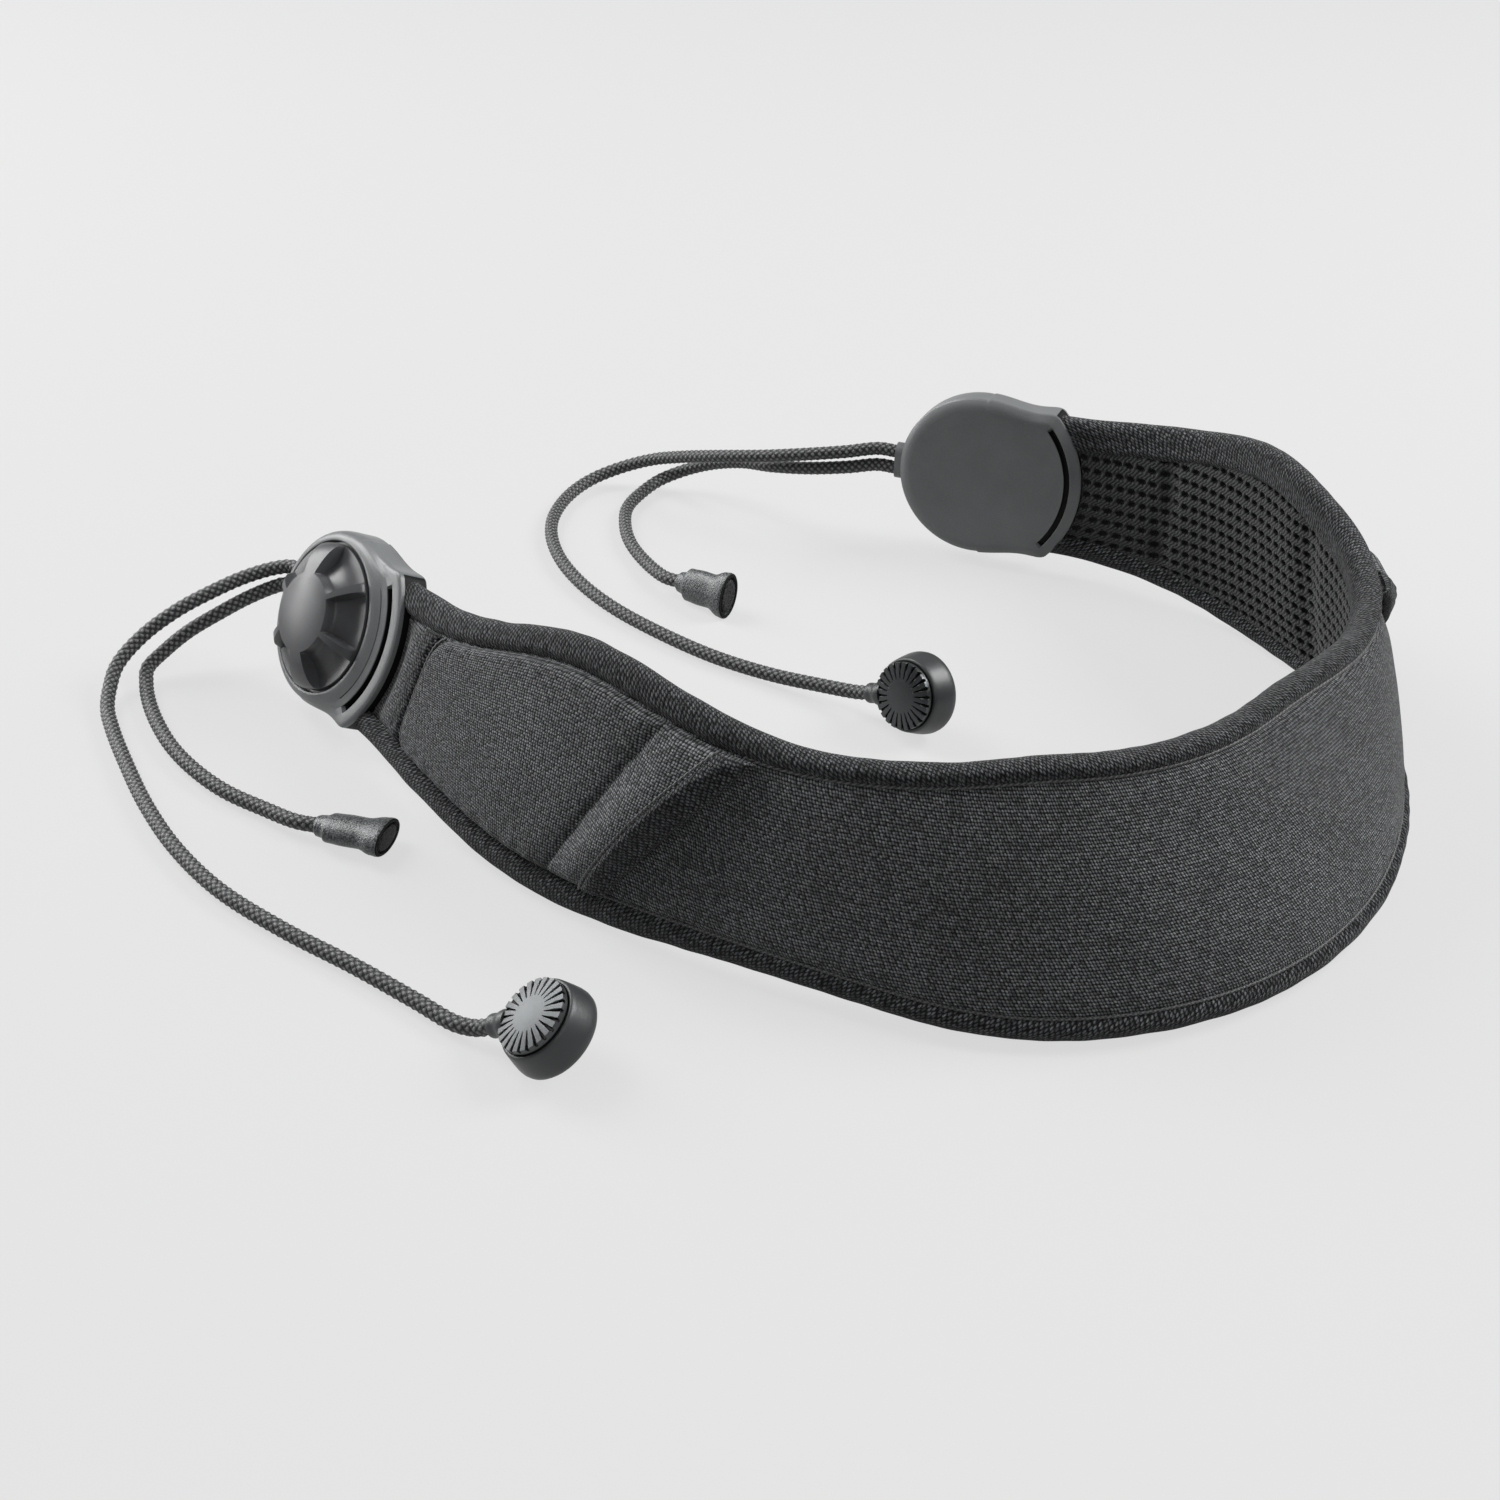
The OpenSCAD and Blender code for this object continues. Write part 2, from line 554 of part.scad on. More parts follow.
module rib(a, half) {
    r = 2 * knob_r;
    polygon([[0, 0], [r * cos(a - half), r * sin(a - half)], [r * cos(a + half), r * sin(a + half)]]);
}
module knob_axle() {
    color(steel_c) translate([0, 0, cover_in - 0.5]) cylinder(r = axle_r, h = axle_top - cover_in + 0.5);
}

// Cam: its spiral slot draws the shoe's pin towards the axis over a quarter turn
slot_w = 2 * pin_r + 0.4;
slot_over = 9;
function slot_radius(a) = pin_at + shoe_travel * a / 90;
module cam() {
    angles = [for (a = [-90 - slot_over:9:slot_over]) a];
    function edge(d) = [for (a = angles) (slot_radius(a) + d) * [cos(a), sin(a)]];
    inner = edge(-slot_w / 2);
    color(steel_c) translate([0, 0, cam_z]) difference() {
        cylinder(r = cam_r, h = cam_t);
        translate([0, 0, -1]) cylinder(r = spigot_r + fit_gap, h = cam_t + 2);
        translate([0, 0, -1]) linear_extrude(cam_t + 2)
            polygon(concat(edge(slot_w / 2), [for (i = [len(inner) - 1:-1:0]) inner[i]]));
    }
}

// The cord's line inside: out of the gland, on to the loop round the post and back
loop_r = post_r + move_gap + cord_r;
bend_pt = [cavity_r + 0.6, cord_pitch / 2];
loop_start = atan2(bend_pt.y, bend_pt.x) + acos(loop_r / norm(bend_pt));
module cord_loop() {
    half = concat([[gland_x, cord_pitch / 2, cord_z], [bend_pt.x, bend_pt.y, cord_z]],
        [for (t = [0:1:3]) let (a = loop_start + (180 - loop_start) * t / 3.5)
            [loop_r * cos(a), loop_r * sin(a), cord_z]]);
    color(cord_c) tube(concat(half, [for (i = [len(half) - 1:-1:0]) [half[i].x, -half[i].y, cord_z]]), cord_r);
}
// Shoe: a wedge between the two runs of cord, on a key in the cover
shoe_x = [8.4, 15];
shoe_gap = 0.35;
function cord_inside(x) =
    let (p = loop_r * [cos(loop_start), sin(loop_start)], slope = (p.y - bend_pt.y) / (bend_pt.x - p.x))
    bend_pt.y + (bend_pt.x - x) * slope - cord_r * sqrt(1 + slope * slope);
module clamp_shoe() {
    z0 = cover_in + move_gap;
    w = [for (x = shoe_x) cord_inside(x) - shoe_gap];
    color(black_c) difference() {
        union() {
            translate([0, 0, z0]) linear_extrude(cam_z - move_gap - z0)
                polygon([[shoe_x[0], -w[0]], [shoe_x[1], -w[1]], [shoe_x[1], w[1]], [shoe_x[0], w[0]]]);
            translate([pin_at, 0, z0 + 1]) cylinder(r = pin_r, h = cam_z + cam_t - z0 - 1);
        }
        translate([shoe_x[0] - 4, -key_w / 2 - shoe_gap, z0 - 1])
            cube([shoe_x[1] - shoe_x[0] + 8, key_w + 2 * shoe_gap, 1 + key_h]);
    }
}

// Free cords. Points are on the floor plan of their adjuster: along the way the cords come out,
// across it to the left, and above the floor. The ends come from the gland and the fitting.
straight_out = 6;
stem_straight = 3;
left_long_pts = [[10, 2, 26], [14, 10, 24], [16, 20, 21.5], [18, 30, 18], [20, 40, 12.5], [18, 49, 7.5],
    [13, 54, 4.2], [6, 58, 2.5], [-4, 61, 2.1], [-22, 65, 2.1], [-44, 69, 2.1], [-66, 71, 2.1], [-88, 70, 2.1],
    [-111, 65, 2.1], [-134, 58, 2.1], [-153, 53, 2.1], [-166, 50, 2.5]];
left_short_pts = [[9, 4, 21], [12, 11, 18.5], [14, 19, 15.5], [17, 28, 11], [18, 35, 7], [17, 41, 4],
    [12, 44, 2.5], [4, 47, 2.1], [-8, 50, 2.1], [-22, 52, 2.1], [-36, 52, 2.1], [-50, 50, 2.1], [-63, 46, 2.4]];
right_long_pts = [[16, 2, 28.5], [28, 4, 26.5], [42, 4, 23.5], [57, 2, 20], [72, -3, 15], [85, -7, 10],
    [96, -6, 5.6], [103, 0, 3.2], [106, 10, 2.2], [105, 24, 2.1], [101, 36, 2.1], [92, 50, 2.1], [79, 63, 2.1],
    [63, 74, 2.1], [44, 83, 2.1], [24, 90, 2.1], [6, 94, 2.6], [-10, 97, 4.2]];
right_short_pts = [[15, 2, 23.5], [27, 3, 21.5], [40, 1, 19], [53, -5, 15.5], [65, -9, 11], [75, -10, 6.5],
    [82, -6, 3.6], [85, 2, 2.2], [85, 13, 2.1], [81, 24, 2.1], [75, 34, 2.1], [66, 44, 2.3]];
// Fittings: place on the same plan, the dial's lean and aim, and the turn of its stem
left_connector = [[-186, 40, 11.4], 38, -161, -40];
right_connector = [[-38, 105, 11.9], 74, -137, -70];
// Stoppers: place of the end that takes the cord, aim on the same plan, rise of the flared end and roll
left_stopper = [[-80, 39, 3.6], -146, 2, 0];
right_stopper = [[49, 56, 4.2], 160, 6, 65];

function by_side(side, a, b) = is_left(side) ? a : b;
function plan_pt(side, p) =
    let (e = adjuster_pt(side, gland_x, 0, cord_z), x = cord_dir(side))
    [e.x + p.x * x.x - p.y * x.y, e.y + p.x * x.y + p.y * x.x, p.z];
// The upper of the two cords is the long one
function exit_y(side, long) = (is_left(side) == long ? -1 : 1) * cord_pitch / 2;
function exit_pts(side, long) =
    [for (d = [0, straight_out]) adjuster_pt(side, gland_x + d, exit_y(side, long), cord_z)];

// Connector: a dial over the stem's eye, pinned to a socket inside a conical collar
eye_z = fit_gap * 2;
dial_z = eye_z + eye_t + move_gap;
ferrule_r = cord_r + 0.6;
ferrule_x = collar_base_r + 0.3;
ferrule_end = ferrule_x + ferrule_l;
eye_r = collar_top_r - 0.2;
socket_r = socket_bore_r + socket_wall;
collar_in = socket_r + move_gap;
socket_top = -0.6;
socket_roof = 1.6;
socket_low = socket_top - socket_roof - socket_depth;
function connector(side) = by_side(side, left_connector, right_connector);
function turned(v, tilt, aim) =
    let (x = v.x * cos(tilt) + v.z * sin(tilt), z = v.z * cos(tilt) - v.x * sin(tilt))
    [x * cos(aim) - v.y * sin(aim), x * sin(aim) + v.y * cos(aim), z];
function connector_dir(side, v) =
    let (c = connector(side), r = c[3])
    turned([v.x * cos(r) - v.y * sin(r), v.x * sin(r) + v.y * cos(r), v.z], c[1], c[2]);
function connector_at(side) = plan_pt(side, connector(side)[0]);
function stem_pts(side) = [for (x = [ferrule_end + stem_straight, ferrule_end])
    connector_at(side) + connector_dir(side, [x, 0, eye_z + eye_t / 2])];
module on_connector(side) {
    c = connector(side);
    translate(origin_shift + connector_at(side)) rotate([0, 0, c[2]]) rotate([0, c[1], 0]) rotate([0, 0, c[3]])
        children();
}
module connector_stem() {
    mid = eye_z + eye_t / 2;
    color(rubber_c) difference() {
        union() {
            translate([0, 0, eye_z]) cylinder(r = eye_r, h = eye_t);
            translate([0, -ferrule_r, eye_z]) cube([ferrule_x + 1, 2 * ferrule_r, eye_t]);
            translate([ferrule_x, 0, mid]) rotate([0, 90, 0])
                cylinder(r1 = ferrule_r + 0.8, r2 = ferrule_r, h = ferrule_l);
        }
        translate([0, 0, eye_z - 1]) cylinder(r = joint_pin_r + move_gap, h = eye_t + 2);
    }
}
module connector_collar() {
    lip = 1.4;
    mid = collar_h / 2;
    color(rubber_c) rotate_extrude($fn = 96) polygon(concat(
        [[collar_in, 0], [collar_in, -collar_h]],
        [for (a = [-90:18:0]) [collar_base_r - lip + lip * cos(a), -mid + mid * sin(a)]],
        [[collar_top_r, 0]]));
}
module connector_dial() {
    groove_in = dial_r * 0.52;
    groove_w = dial_r * 0.15;
    groove_deep = 1;
    crown = 0.6;
    color(shell_c) difference() {
        translate([0, 0, dial_z]) rotate_extrude($fn = 96) polygon(concat([[0, 0], [dial_r, 0]],
            [for (t = [1:-0.25:0]) [dial_r * t, dial_t - crown * t * t]]));
        for (i = [0:dial_grooves - 1]) rotate(360 * i / dial_grooves)
            translate([0, 0, dial_z + dial_t - groove_deep]) linear_extrude(dial_t)
            polygon([[groove_in, 0], [dial_r + 1, -groove_w / 2], [dial_r + 1, groove_w / 2]]);
        translate([0, 0, dial_z - 1]) cylinder(r = joint_pin_r + fit_gap, h = 2.2);
    }
}
module connector_pin() {
    color(steel_c) translate([0, 0, socket_top - socket_roof])
        cylinder(r = joint_pin_r, h = dial_z + 1.1 - socket_top + socket_roof);
}
module bayonet_socket() {
    slot = 2.4;
    color(black_c) difference() {
        translate([0, 0, socket_low]) cylinder(r = socket_r, h = socket_top - socket_low);
        translate([0, 0, socket_low - 1]) cylinder(r = socket_bore_r, h = socket_depth + 1);
        translate([0, 0, socket_top - socket_roof - 1]) cylinder(r = joint_pin_r + fit_gap, h = socket_roof + 2);
        translate([-socket_bore_r - 1, -slot / 2, socket_low - 1])
            cube([2 * (socket_bore_r + 1), slot, socket_depth * 0.6 + 1]);
    }
}

// Stopper: an oval sleeve that flares towards its closed end
oval_sides = 20;
function stopper(side) = by_side(side, left_stopper, right_stopper);
function stopper_pt(side, v) =
    let (q = stopper(side), a = heading(side) + q[1], x = v.x * cos(q[2]) - v.z * sin(q[2]))
    plan_pt(side, q[0]) + [x * cos(a) - v.y * sin(a), x * sin(a) + v.y * cos(a), v.x * sin(q[2]) + v.z * cos(q[2])];
module on_stopper(side) {
    translate(origin_shift + plan_pt(side, stopper(side)[0])) rotate([0, 0, heading(side) + stopper(side)[1]])
        rotate([stopper(side)[3], -stopper(side)[2], 0]) children();
}
stopper_sections = [[0, cord_d + 1.6, cord_d + 1.6], [0.1, stopper_body_w - 0.4, 6.3], [0.4, stopper_body_w, 6.6],
    [0.7, stopper_body_w + 0.6, 6.8], [0.87, stopper_flare_w, 7.4], [1, stopper_flare_w - 0.3, 7.2]];
plug_w = 8.4;
plug_h = 4.6;
plug_deep = 0.8;
module plug_shape(grow) {
    for (y = [-1, 1]) translate([0, y * (plug_w - plug_h) / 2, 0]) rotate([0, 90, 0])
        cylinder(r = plug_h / 2 + grow, h = plug_deep + 1);
    translate([0, -(plug_w - plug_h) / 2, -plug_h / 2 - grow])
        cube([plug_deep + 1, plug_w - plug_h, plug_h + 2 * grow]);
}
module stopper_sleeve() {
    color(rubber_c) difference() {
        loft([for (q = stopper_sections) [for (j = [0:oval_sides - 1]) let (a = 360 * j / oval_sides)
            [q[0] * stopper_l, q[1] / 2 * cos(a), q[2] / 2 * sin(a)]]]);
        translate([stopper_l - plug_deep, 0, 0]) plug_shape(fit_gap);
    }
}
module stopper_plug() {
    color(black_c) intersection() {
        translate([stopper_l - plug_deep + fit_gap, 0, 0]) plug_shape(0);
        translate([0, -plug_w, -plug_w]) cube([stopper_l + 0.2, 2 * plug_w, 2 * plug_w]);
    }
}

function long_route(side) =
    concat(exit_pts(side, true),
        [for (p = by_side(side, left_long_pts, right_long_pts)) plan_pt(side, p)], stem_pts(side));
function short_route(side) =
    concat(exit_pts(side, false),
        [for (p = by_side(side, left_short_pts, right_short_pts)) plan_pt(side, p)],
        [for (x = [-straight_out, 0]) stopper_pt(side, [x, 0, 0])]);
module long_cord(side) {
    color(cord_c) on_strap() tube(long_route(side), cord_r);
}
module short_cord(side) {
    color(cord_c) on_strap() tube(short_route(side), cord_r);
}

// Places that joints and mounts need
for (side = ["left", "right"]) {
    echo(side = side, axis_at = origin_shift + axis_pt(side), axis = axis_dir(side), slide = cord_dir(side));
    echo(dial_at = origin_shift + connector_at(side), dial_axis = connector_dir(side, [0, 0, 1]));
    echo(socket_at = origin_shift + connector_at(side) + connector_dir(side, [0, 0, socket_low]));
    echo(long = route_length(long_route(side)), short = route_length(short_route(side)));
}
echo(neck_at = origin_shift + flat_pt(strap_l / 2, 0, lining_face(strap_l / 2, 0)),
    neck_axis = -face_dir(plan_at(strap_l / 2)[1], eased(lean_knots, strap_l / 2)));
echo(origin_shift = origin_shift, strap_l = strap_l);

function shown(name) = node == "all" || node == name;
if (shown("outer_shell")) outer_shell();
if (shown("foam_core")) foam_core();
if (shown("mesh_lining")) mesh_lining();
if (shown("upper_binding")) binding(1);
if (shown("lower_binding")) binding(-1);
for (side = ["left", "right"]) {
    if (shown(str(side, "_pocket_panel"))) pocket_panel(side);
    if (shown(str(side, "_pocket_binding"))) pocket_binding(side);
    if (shown(str(side, "_seam_tape"))) seam_tape(side);
    if (shown(str(side, "_end_tab"))) on_adjuster(side) end_tab();
    if (shown(str(side, "_tab_rod"))) on_adjuster(side) tab_rod();
    if (shown(str(side, "_front_shell"))) on_adjuster(side) front_shell();
    if (shown(str(side, "_back_cover"))) on_adjuster(side) back_cover();
    if (shown(str(side, "_knob"))) on_adjuster(side) knob();
    if (shown(str(side, "_knob_axle"))) on_adjuster(side) knob_axle();
    if (shown(str(side, "_cam"))) on_adjuster(side) cam();
    if (shown(str(side, "_clamp_shoe"))) on_adjuster(side) clamp_shoe();
    if (shown(str(side, "_friction_ring"))) on_adjuster(side) friction_ring();
    if (shown(str(side, "_cord_guide"))) on_adjuster(side) cord_guide();
    if (shown(str(side, "_cord_loop"))) on_adjuster(side) cord_loop();
    if (shown(str(side, "_long_cord"))) long_cord(side);
    if (shown(str(side, "_short_cord"))) short_cord(side);
    if (shown(str(side, "_stopper_sleeve"))) on_stopper(side) stopper_sleeve();
    if (shown(str(side, "_stopper_plug"))) on_stopper(side) stopper_plug();
    if (shown(str(side, "_connector_stem"))) on_connector(side) connector_stem();
    if (shown(str(side, "_connector_collar"))) on_connector(side) connector_collar();
    if (shown(str(side, "_connector_dial"))) on_connector(side) connector_dial();
    if (shown(str(side, "_bayonet_socket"))) on_connector(side) bayonet_socket();
    if (shown(str(side, "_connector_pin"))) on_connector(side) connector_pin();
}
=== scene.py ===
"""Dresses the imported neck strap: knit panels, bindings, mesh lining, adjusters, cords and their fittings."""

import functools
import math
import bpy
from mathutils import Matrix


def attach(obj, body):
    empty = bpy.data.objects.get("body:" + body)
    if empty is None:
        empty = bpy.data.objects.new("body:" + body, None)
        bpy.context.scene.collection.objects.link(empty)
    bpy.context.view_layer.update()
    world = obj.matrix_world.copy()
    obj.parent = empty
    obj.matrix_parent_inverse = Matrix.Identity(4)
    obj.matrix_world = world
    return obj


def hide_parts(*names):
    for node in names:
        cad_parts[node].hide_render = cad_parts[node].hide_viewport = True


bl_info = {
    "name": "Padded Neck Strap",
    "version": (1, 0, 0),
    "blender": (4, 5, 0),
    "location": "3D View > Sidebar > Neck Strap",
    "description": "Builds the visible pieces of a padded neck strap round its packed frame",
    "category": "Object",
}

import bmesh
import bpy
from bpy.props import FloatProperty, FloatVectorProperty, IntProperty, PointerProperty
from mathutils import Matrix, Vector, noise

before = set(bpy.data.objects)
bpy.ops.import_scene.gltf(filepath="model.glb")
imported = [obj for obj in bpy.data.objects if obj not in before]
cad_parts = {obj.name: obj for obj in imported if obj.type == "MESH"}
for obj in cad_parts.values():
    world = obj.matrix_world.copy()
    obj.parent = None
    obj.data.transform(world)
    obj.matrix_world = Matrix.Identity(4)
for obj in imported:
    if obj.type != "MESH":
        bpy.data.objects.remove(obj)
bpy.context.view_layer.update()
MM = 0.001
SIDES = ("left", "right")
UP = Vector((0, 0, 1))
WELD = 0.0005

# The strap, in millimetres as in the CAD source: its lower edge in plan, then its lean and width
ORIGIN = Vector((-20.02, -3.82, 0))
NEAR_END = (-99.7, -6.6)
NEAR_HEADING = -53
PLAN_RUNS = ((12.6, -2), (99, 23), (62, 12), (107, 66), (200, 98), (22, 15))
STRAP_L = sum(run[0] for run in PLAN_RUNS)
FAR_HEADING = NEAR_HEADING + sum(run[1] for run in PLAN_RUNS)
LEAN_KNOTS = ((0, 29), (120, 22), (280, 29), (405, 10), (STRAP_L, -6))
WIDTH_KNOTS = ((0, 43), (75, 64), (140, 53.5), (210, 64))
STRAP_W = 64
EDGE_R = 3.6
EDGE_LIFT = 0.6
END_FADE = 35
UNDER_TAPE = 2.6
BINDING_KNOTS = ((0, 7.2), (95, 7.2), (150, 5.4))
BINDING_INSIDE = {1: 9.5, -1: 6.5}
TAPE_T = 0.9
PANEL_T = 1.6
MESH_T = 2
FOAM_START = 12
FOAM_GAP = 0.3
FOAM_LEAST = 0.2
CHANNELS = ((28, 1.9), (91, 5))
END_SINK = 0.8
PAD_FADE = 7
SAG_REACH = 22.3

# The adjuster: its outline and its levels along the knob's axis
HOUSING_R = 24
REACH = 32
STRAP_GAP = 0.3
CLOSE_UP = 0.28
STRAP_PLANE = -1.1
FLANGE_MID = 21.35
FLANGE_SPREAD = 0.058
GROOVE_SWEEP = 40
SHELL_STEPS = 288
CORD_Z = -1.4
CAM_Z = 1.0
KNOB_Z = 5.3
GLAND_X = 26
CORD_PITCH = 5.2

# The pockets: distances from the strap's end
SEAM_AT = 11
CROSS_TAPE_W = 5
POCKET_START = 17
POCKET_MOUTH = 112
POCKET_CREASE = 91
MOUTH_SLANT = 16
POCKET_T = 1.4
POCKET_GAP = 0.6
POCKET_HALF = 25
MOUTH_LIFT = {"left": 4.8, "right": 2.8}
MOUTH_TAPE = 6.4
MOUTH_ROLL = 0.8


def linear(text):
    """Linear colour of an sRGB hex value."""
    parts = [int(text[i:i + 2], 16) / 255 for i in (1, 3, 5)]
    return [c / 12.92 if c <= 0.04045 else ((c + 0.055) / 1.055) ** 2.4 for c in parts] + [1.0]


def shaded(colour, factor):
    """The same colour, darker or lighter."""
    return [c * factor for c in colour[:3]] + [1.0]


def smooth(t):
    """Smooth step from 0 to 1."""
    t = min(1.0, max(0.0, t))
    return t * t * (3 - 2 * t)


def hump(x, width):
    """A rounded bump of height 1 at x = 0."""
    return math.exp(-((x / width) ** 2))


def soft_min(a, b, k):
    """The smaller of two lengths, with the corner between them rounded."""
    h = max(0.0, k - abs(a - b)) / k
    return min(a, b) - h * h * k / 4


def eased(knots, x):
    """Smooth steps from knot to knot."""
    for (x0, y0), (x1, y1) in zip(knots, knots[1:]):
        if x <= x1:
            return y0 + (y1 - y0) * smooth((x - x0) / (x1 - x0))
    return knots[-1][1]


def plan_at(s):
    """Plan point and heading of the lower edge, straight past both ends."""
    (x, y), heading, left = NEAR_END, math.radians(NEAR_HEADING), s
    for length, turn in PLAN_RUNS:
        if left <= 0:
            break
        part = min(left, length)
        bend = math.radians(turn) * part / length
        radius = part / bend
        x += radius * (math.sin(heading + bend) - math.sin(heading))
        y += radius * (math.cos(heading) - math.cos(heading + bend))
        heading += bend
        left -= part
    return x + left * math.cos(heading), y + left * math.sin(heading), heading


def end_distance(s):
    return min(max(s, 0), max(STRAP_L - s, 0))


@functools.lru_cache(maxsize=None)
def width_at(s):
    return eased(WIDTH_KNOTS, end_distance(s))


def lengthwise(x):
    """Distance along the strap for a share of a layer, whose ends close up to the adjusters."""
    return (STRAP_L + 2 * CLOSE_UP) * x - CLOSE_UP


@functools.lru_cache(maxsize=None)
def binding_at(s):
    """Width of the binding on the knit face: wide by the adjusters, narrow along the neck."""
    return eased(BINDING_KNOTS, end_distance(s))


def lip_at(s):
    """Height on the face, from mid width, where the binding's lip ends."""
    return width_at(s) / 2 - binding_at(s) - 0.1


@functools.lru_cache(maxsize=None)
def strap_axes(s):
    """Mid point of the strap, the way its face looks and the way its width runs."""
    x, y, heading = plan_at(s)
    lean = math.radians(eased(LEAN_KNOTS, s))
    out = Vector((math.sin(heading), -math.cos(heading), 0))
    face = math.cos(lean) * out + math.sin(lean) * UP
    rise = math.cos(lean) * UP - math.sin(lean) * out
    w = width_at(s)
    lift = EDGE_LIFT * (STRAP_W - w) / 2 + w / 2 - EDGE_R
    return ORIGIN + Vector((x, y, EDGE_R)) + rise * lift, face, rise


def strap_point(s, v, u):
    """A point of the strap: along it, across its face from mid width, and above its mid plane."""
    reach = min(abs(v), SAG_REACH)
    sag = (REACH - math.sqrt(REACH * REACH - reach * reach)) * max(0, 1 - end_distance(s) / END_FADE)
    middle, face, rise = strap_axes(round(s - sag if s < STRAP_L / 2 else s + sag, 3))
    return middle + rise * v + face * u


def outer_rise(s, v):
    """Height of the knit panel: a pillow between the bindings, sunk by the adjusters and past each mouth."""
    lip = lip_at(s)
    r = min(1.0, abs(v) / lip)
    end = smooth(end_distance(s) / PAD_FADE)
    uneven = 0.35 * noise.noise((s / 36, v / 24, 3.7)) + 0.1 * noise.noise((s / 9, v / 7, 1.2))
    pucker = 0.16 * math.sin(s / 1.15 + 2 * noise.noise((s / 14, 0, 0))) * hump(abs(v) - lip + 2.2, 2.2)
    hollow = 1.5 * hump(end_distance(s) - POCKET_MOUTH - MOUTH_SLANT * v / lip - 5, 5)
    swell = 0.9 * math.sqrt(1 - r ** 8) + 1.6 * (1 - r * r) + (uneven - hollow) * (1 - r ** 4) + pucker
    return UNDER_TAPE - END_SINK * (1 - end) + swell * end - 0.45 * hump(abs(v) - lip, 0.9)


def lining_rise(s, v):
    """Height of the mesh lining, below the mid plane, with its two sewn channels at each end."""
    r = min(1.0, abs(v) / lip_at(s))
    swell = 0.7 * math.sqrt(1 - r ** 8) + 1.2 * (1 - r * r) + 0.2 * noise.noise((s / 30, v / 22, 9.1))
    sewn = sum(2.2 * hump(end_distance(s) - at, wide) for at, wide in CHANNELS)
    return sewn * math.sqrt(1 - r ** 8) - UNDER_TAPE - swell * smooth(end_distance(s) / 8 + 0.3)


def along(side, d):
    return d if side == "left" else STRAP_L - d


def pocket_lift(side, d, f):
    """How far the open mouth stands off the pad: highest at its seam, then rolled over under the tape."""
    seam = POCKET_MOUTH - MOUTH_TAPE
    rolled = max(0.0, d - seam) / MOUTH_TAPE
    rise = smooth((d - POCKET_CREASE) / (seam - POCKET_CREASE)) - MOUTH_ROLL * rolled ** 2
    return MOUTH_LIFT[side] * (1 - f * f) * rise


def pad_point(side, d, f, u):
    """A point over the pad: distance from the end, share of the half width, height above the knit panel."""
    s = along(side, d)
    v = f * (lip_at(s) - 0.4)
    return strap_point(s, v, outer_rise(s, v) + POCKET_GAP + u)


def pocket_point(side, d, f, u):
    """A point over the pad on lines that slant as the pocket's mouth does."""
    lead = MOUTH_SLANT * f * max(0, d - POCKET_START) / (POCKET_MOUTH - POCKET_START)
    return pad_point(side, d + lead, f, u)


def cord_way(side):
    """Heading in plan of the cords where they come out of an adjuster."""
    return math.radians(NEAR_HEADING + 180 if side == "left" else FAR_HEADING)


def adjuster_frame(side):
    """Matrix of an adjuster: X towards the cords, Z along the knob's axis."""
    end = 0 if side == "left" else STRAP_L
    heading = cord_way(side)
    lean = math.radians(eased(LEAN_KNOTS, end))
    middle, face, _ = strap_axes(end)
    way = Vector((math.cos(heading), math.sin(heading), 0))
    axis = middle - face * STRAP_PLANE + (REACH + STRAP_GAP) * way
    tip = lean - math.pi / 2 if side == "left" else math.pi / 2 - lean
    return Matrix.Translation(axis) @ Matrix.Rotation(heading, 4, "Z") @ Matrix.Rotation(tip, 4, "X")


def plan_point(side, p):
    """A point of an adjuster's floor plan: along the way the cords come out, left of it, above the floor."""
    start = adjuster_frame(side) @ Vector((GLAND_X, 0, CORD_Z))
    way = cord_way(side)
    flat = Matrix.Rotation(way, 3, "Z") @ Vector((p[0], p[1], 0))
    return Vector((start.x + flat.x, start.y + flat.y, p[2]))


# Fittings on the cords: place on the floor plan, then the angles that turn them
CONNECTORS = {"left": ((-186, 40, 11.4), 38, -161, -40), "right": ((-38, 105, 11.9), 74, -137, -70)}
STOPPERS = {"left": ((-80, 39, 3.6), -146, 2, 0), "right": ((49, 56, 4.2), 160, 6, 65)}
STEM_MID = 0.9
FERRULE_END = 15.5


def connector_frame(side):
    """Matrix of a connector: Z out of its dial, X towards its cord."""
    place, tilt, aim, roll = CONNECTORS[side]
    turn = Matrix.Rotation(math.radians(aim), 4, "Z") @ Matrix.Rotation(math.radians(tilt), 4, "Y")
    return Matrix.Translation(plan_point(side, place)) @ turn @ Matrix.Rotation(math.radians(roll), 4, "Z")


def stopper_frame(side):
    """Matrix of a stopper: X from the cord to its flared end."""
    place, aim, rise, roll = STOPPERS[side]
    aim, rise, roll = cord_way(side) + math.radians(aim), math.radians(rise), math.radians(roll)
    turn = Matrix.Rotation(aim, 4, "Z") @ Matrix.Rotation(-rise, 4, "Y")
    return Matrix.Translation(plan_point(side, place)) @ turn @ Matrix.Rotation(roll, 4, "X")


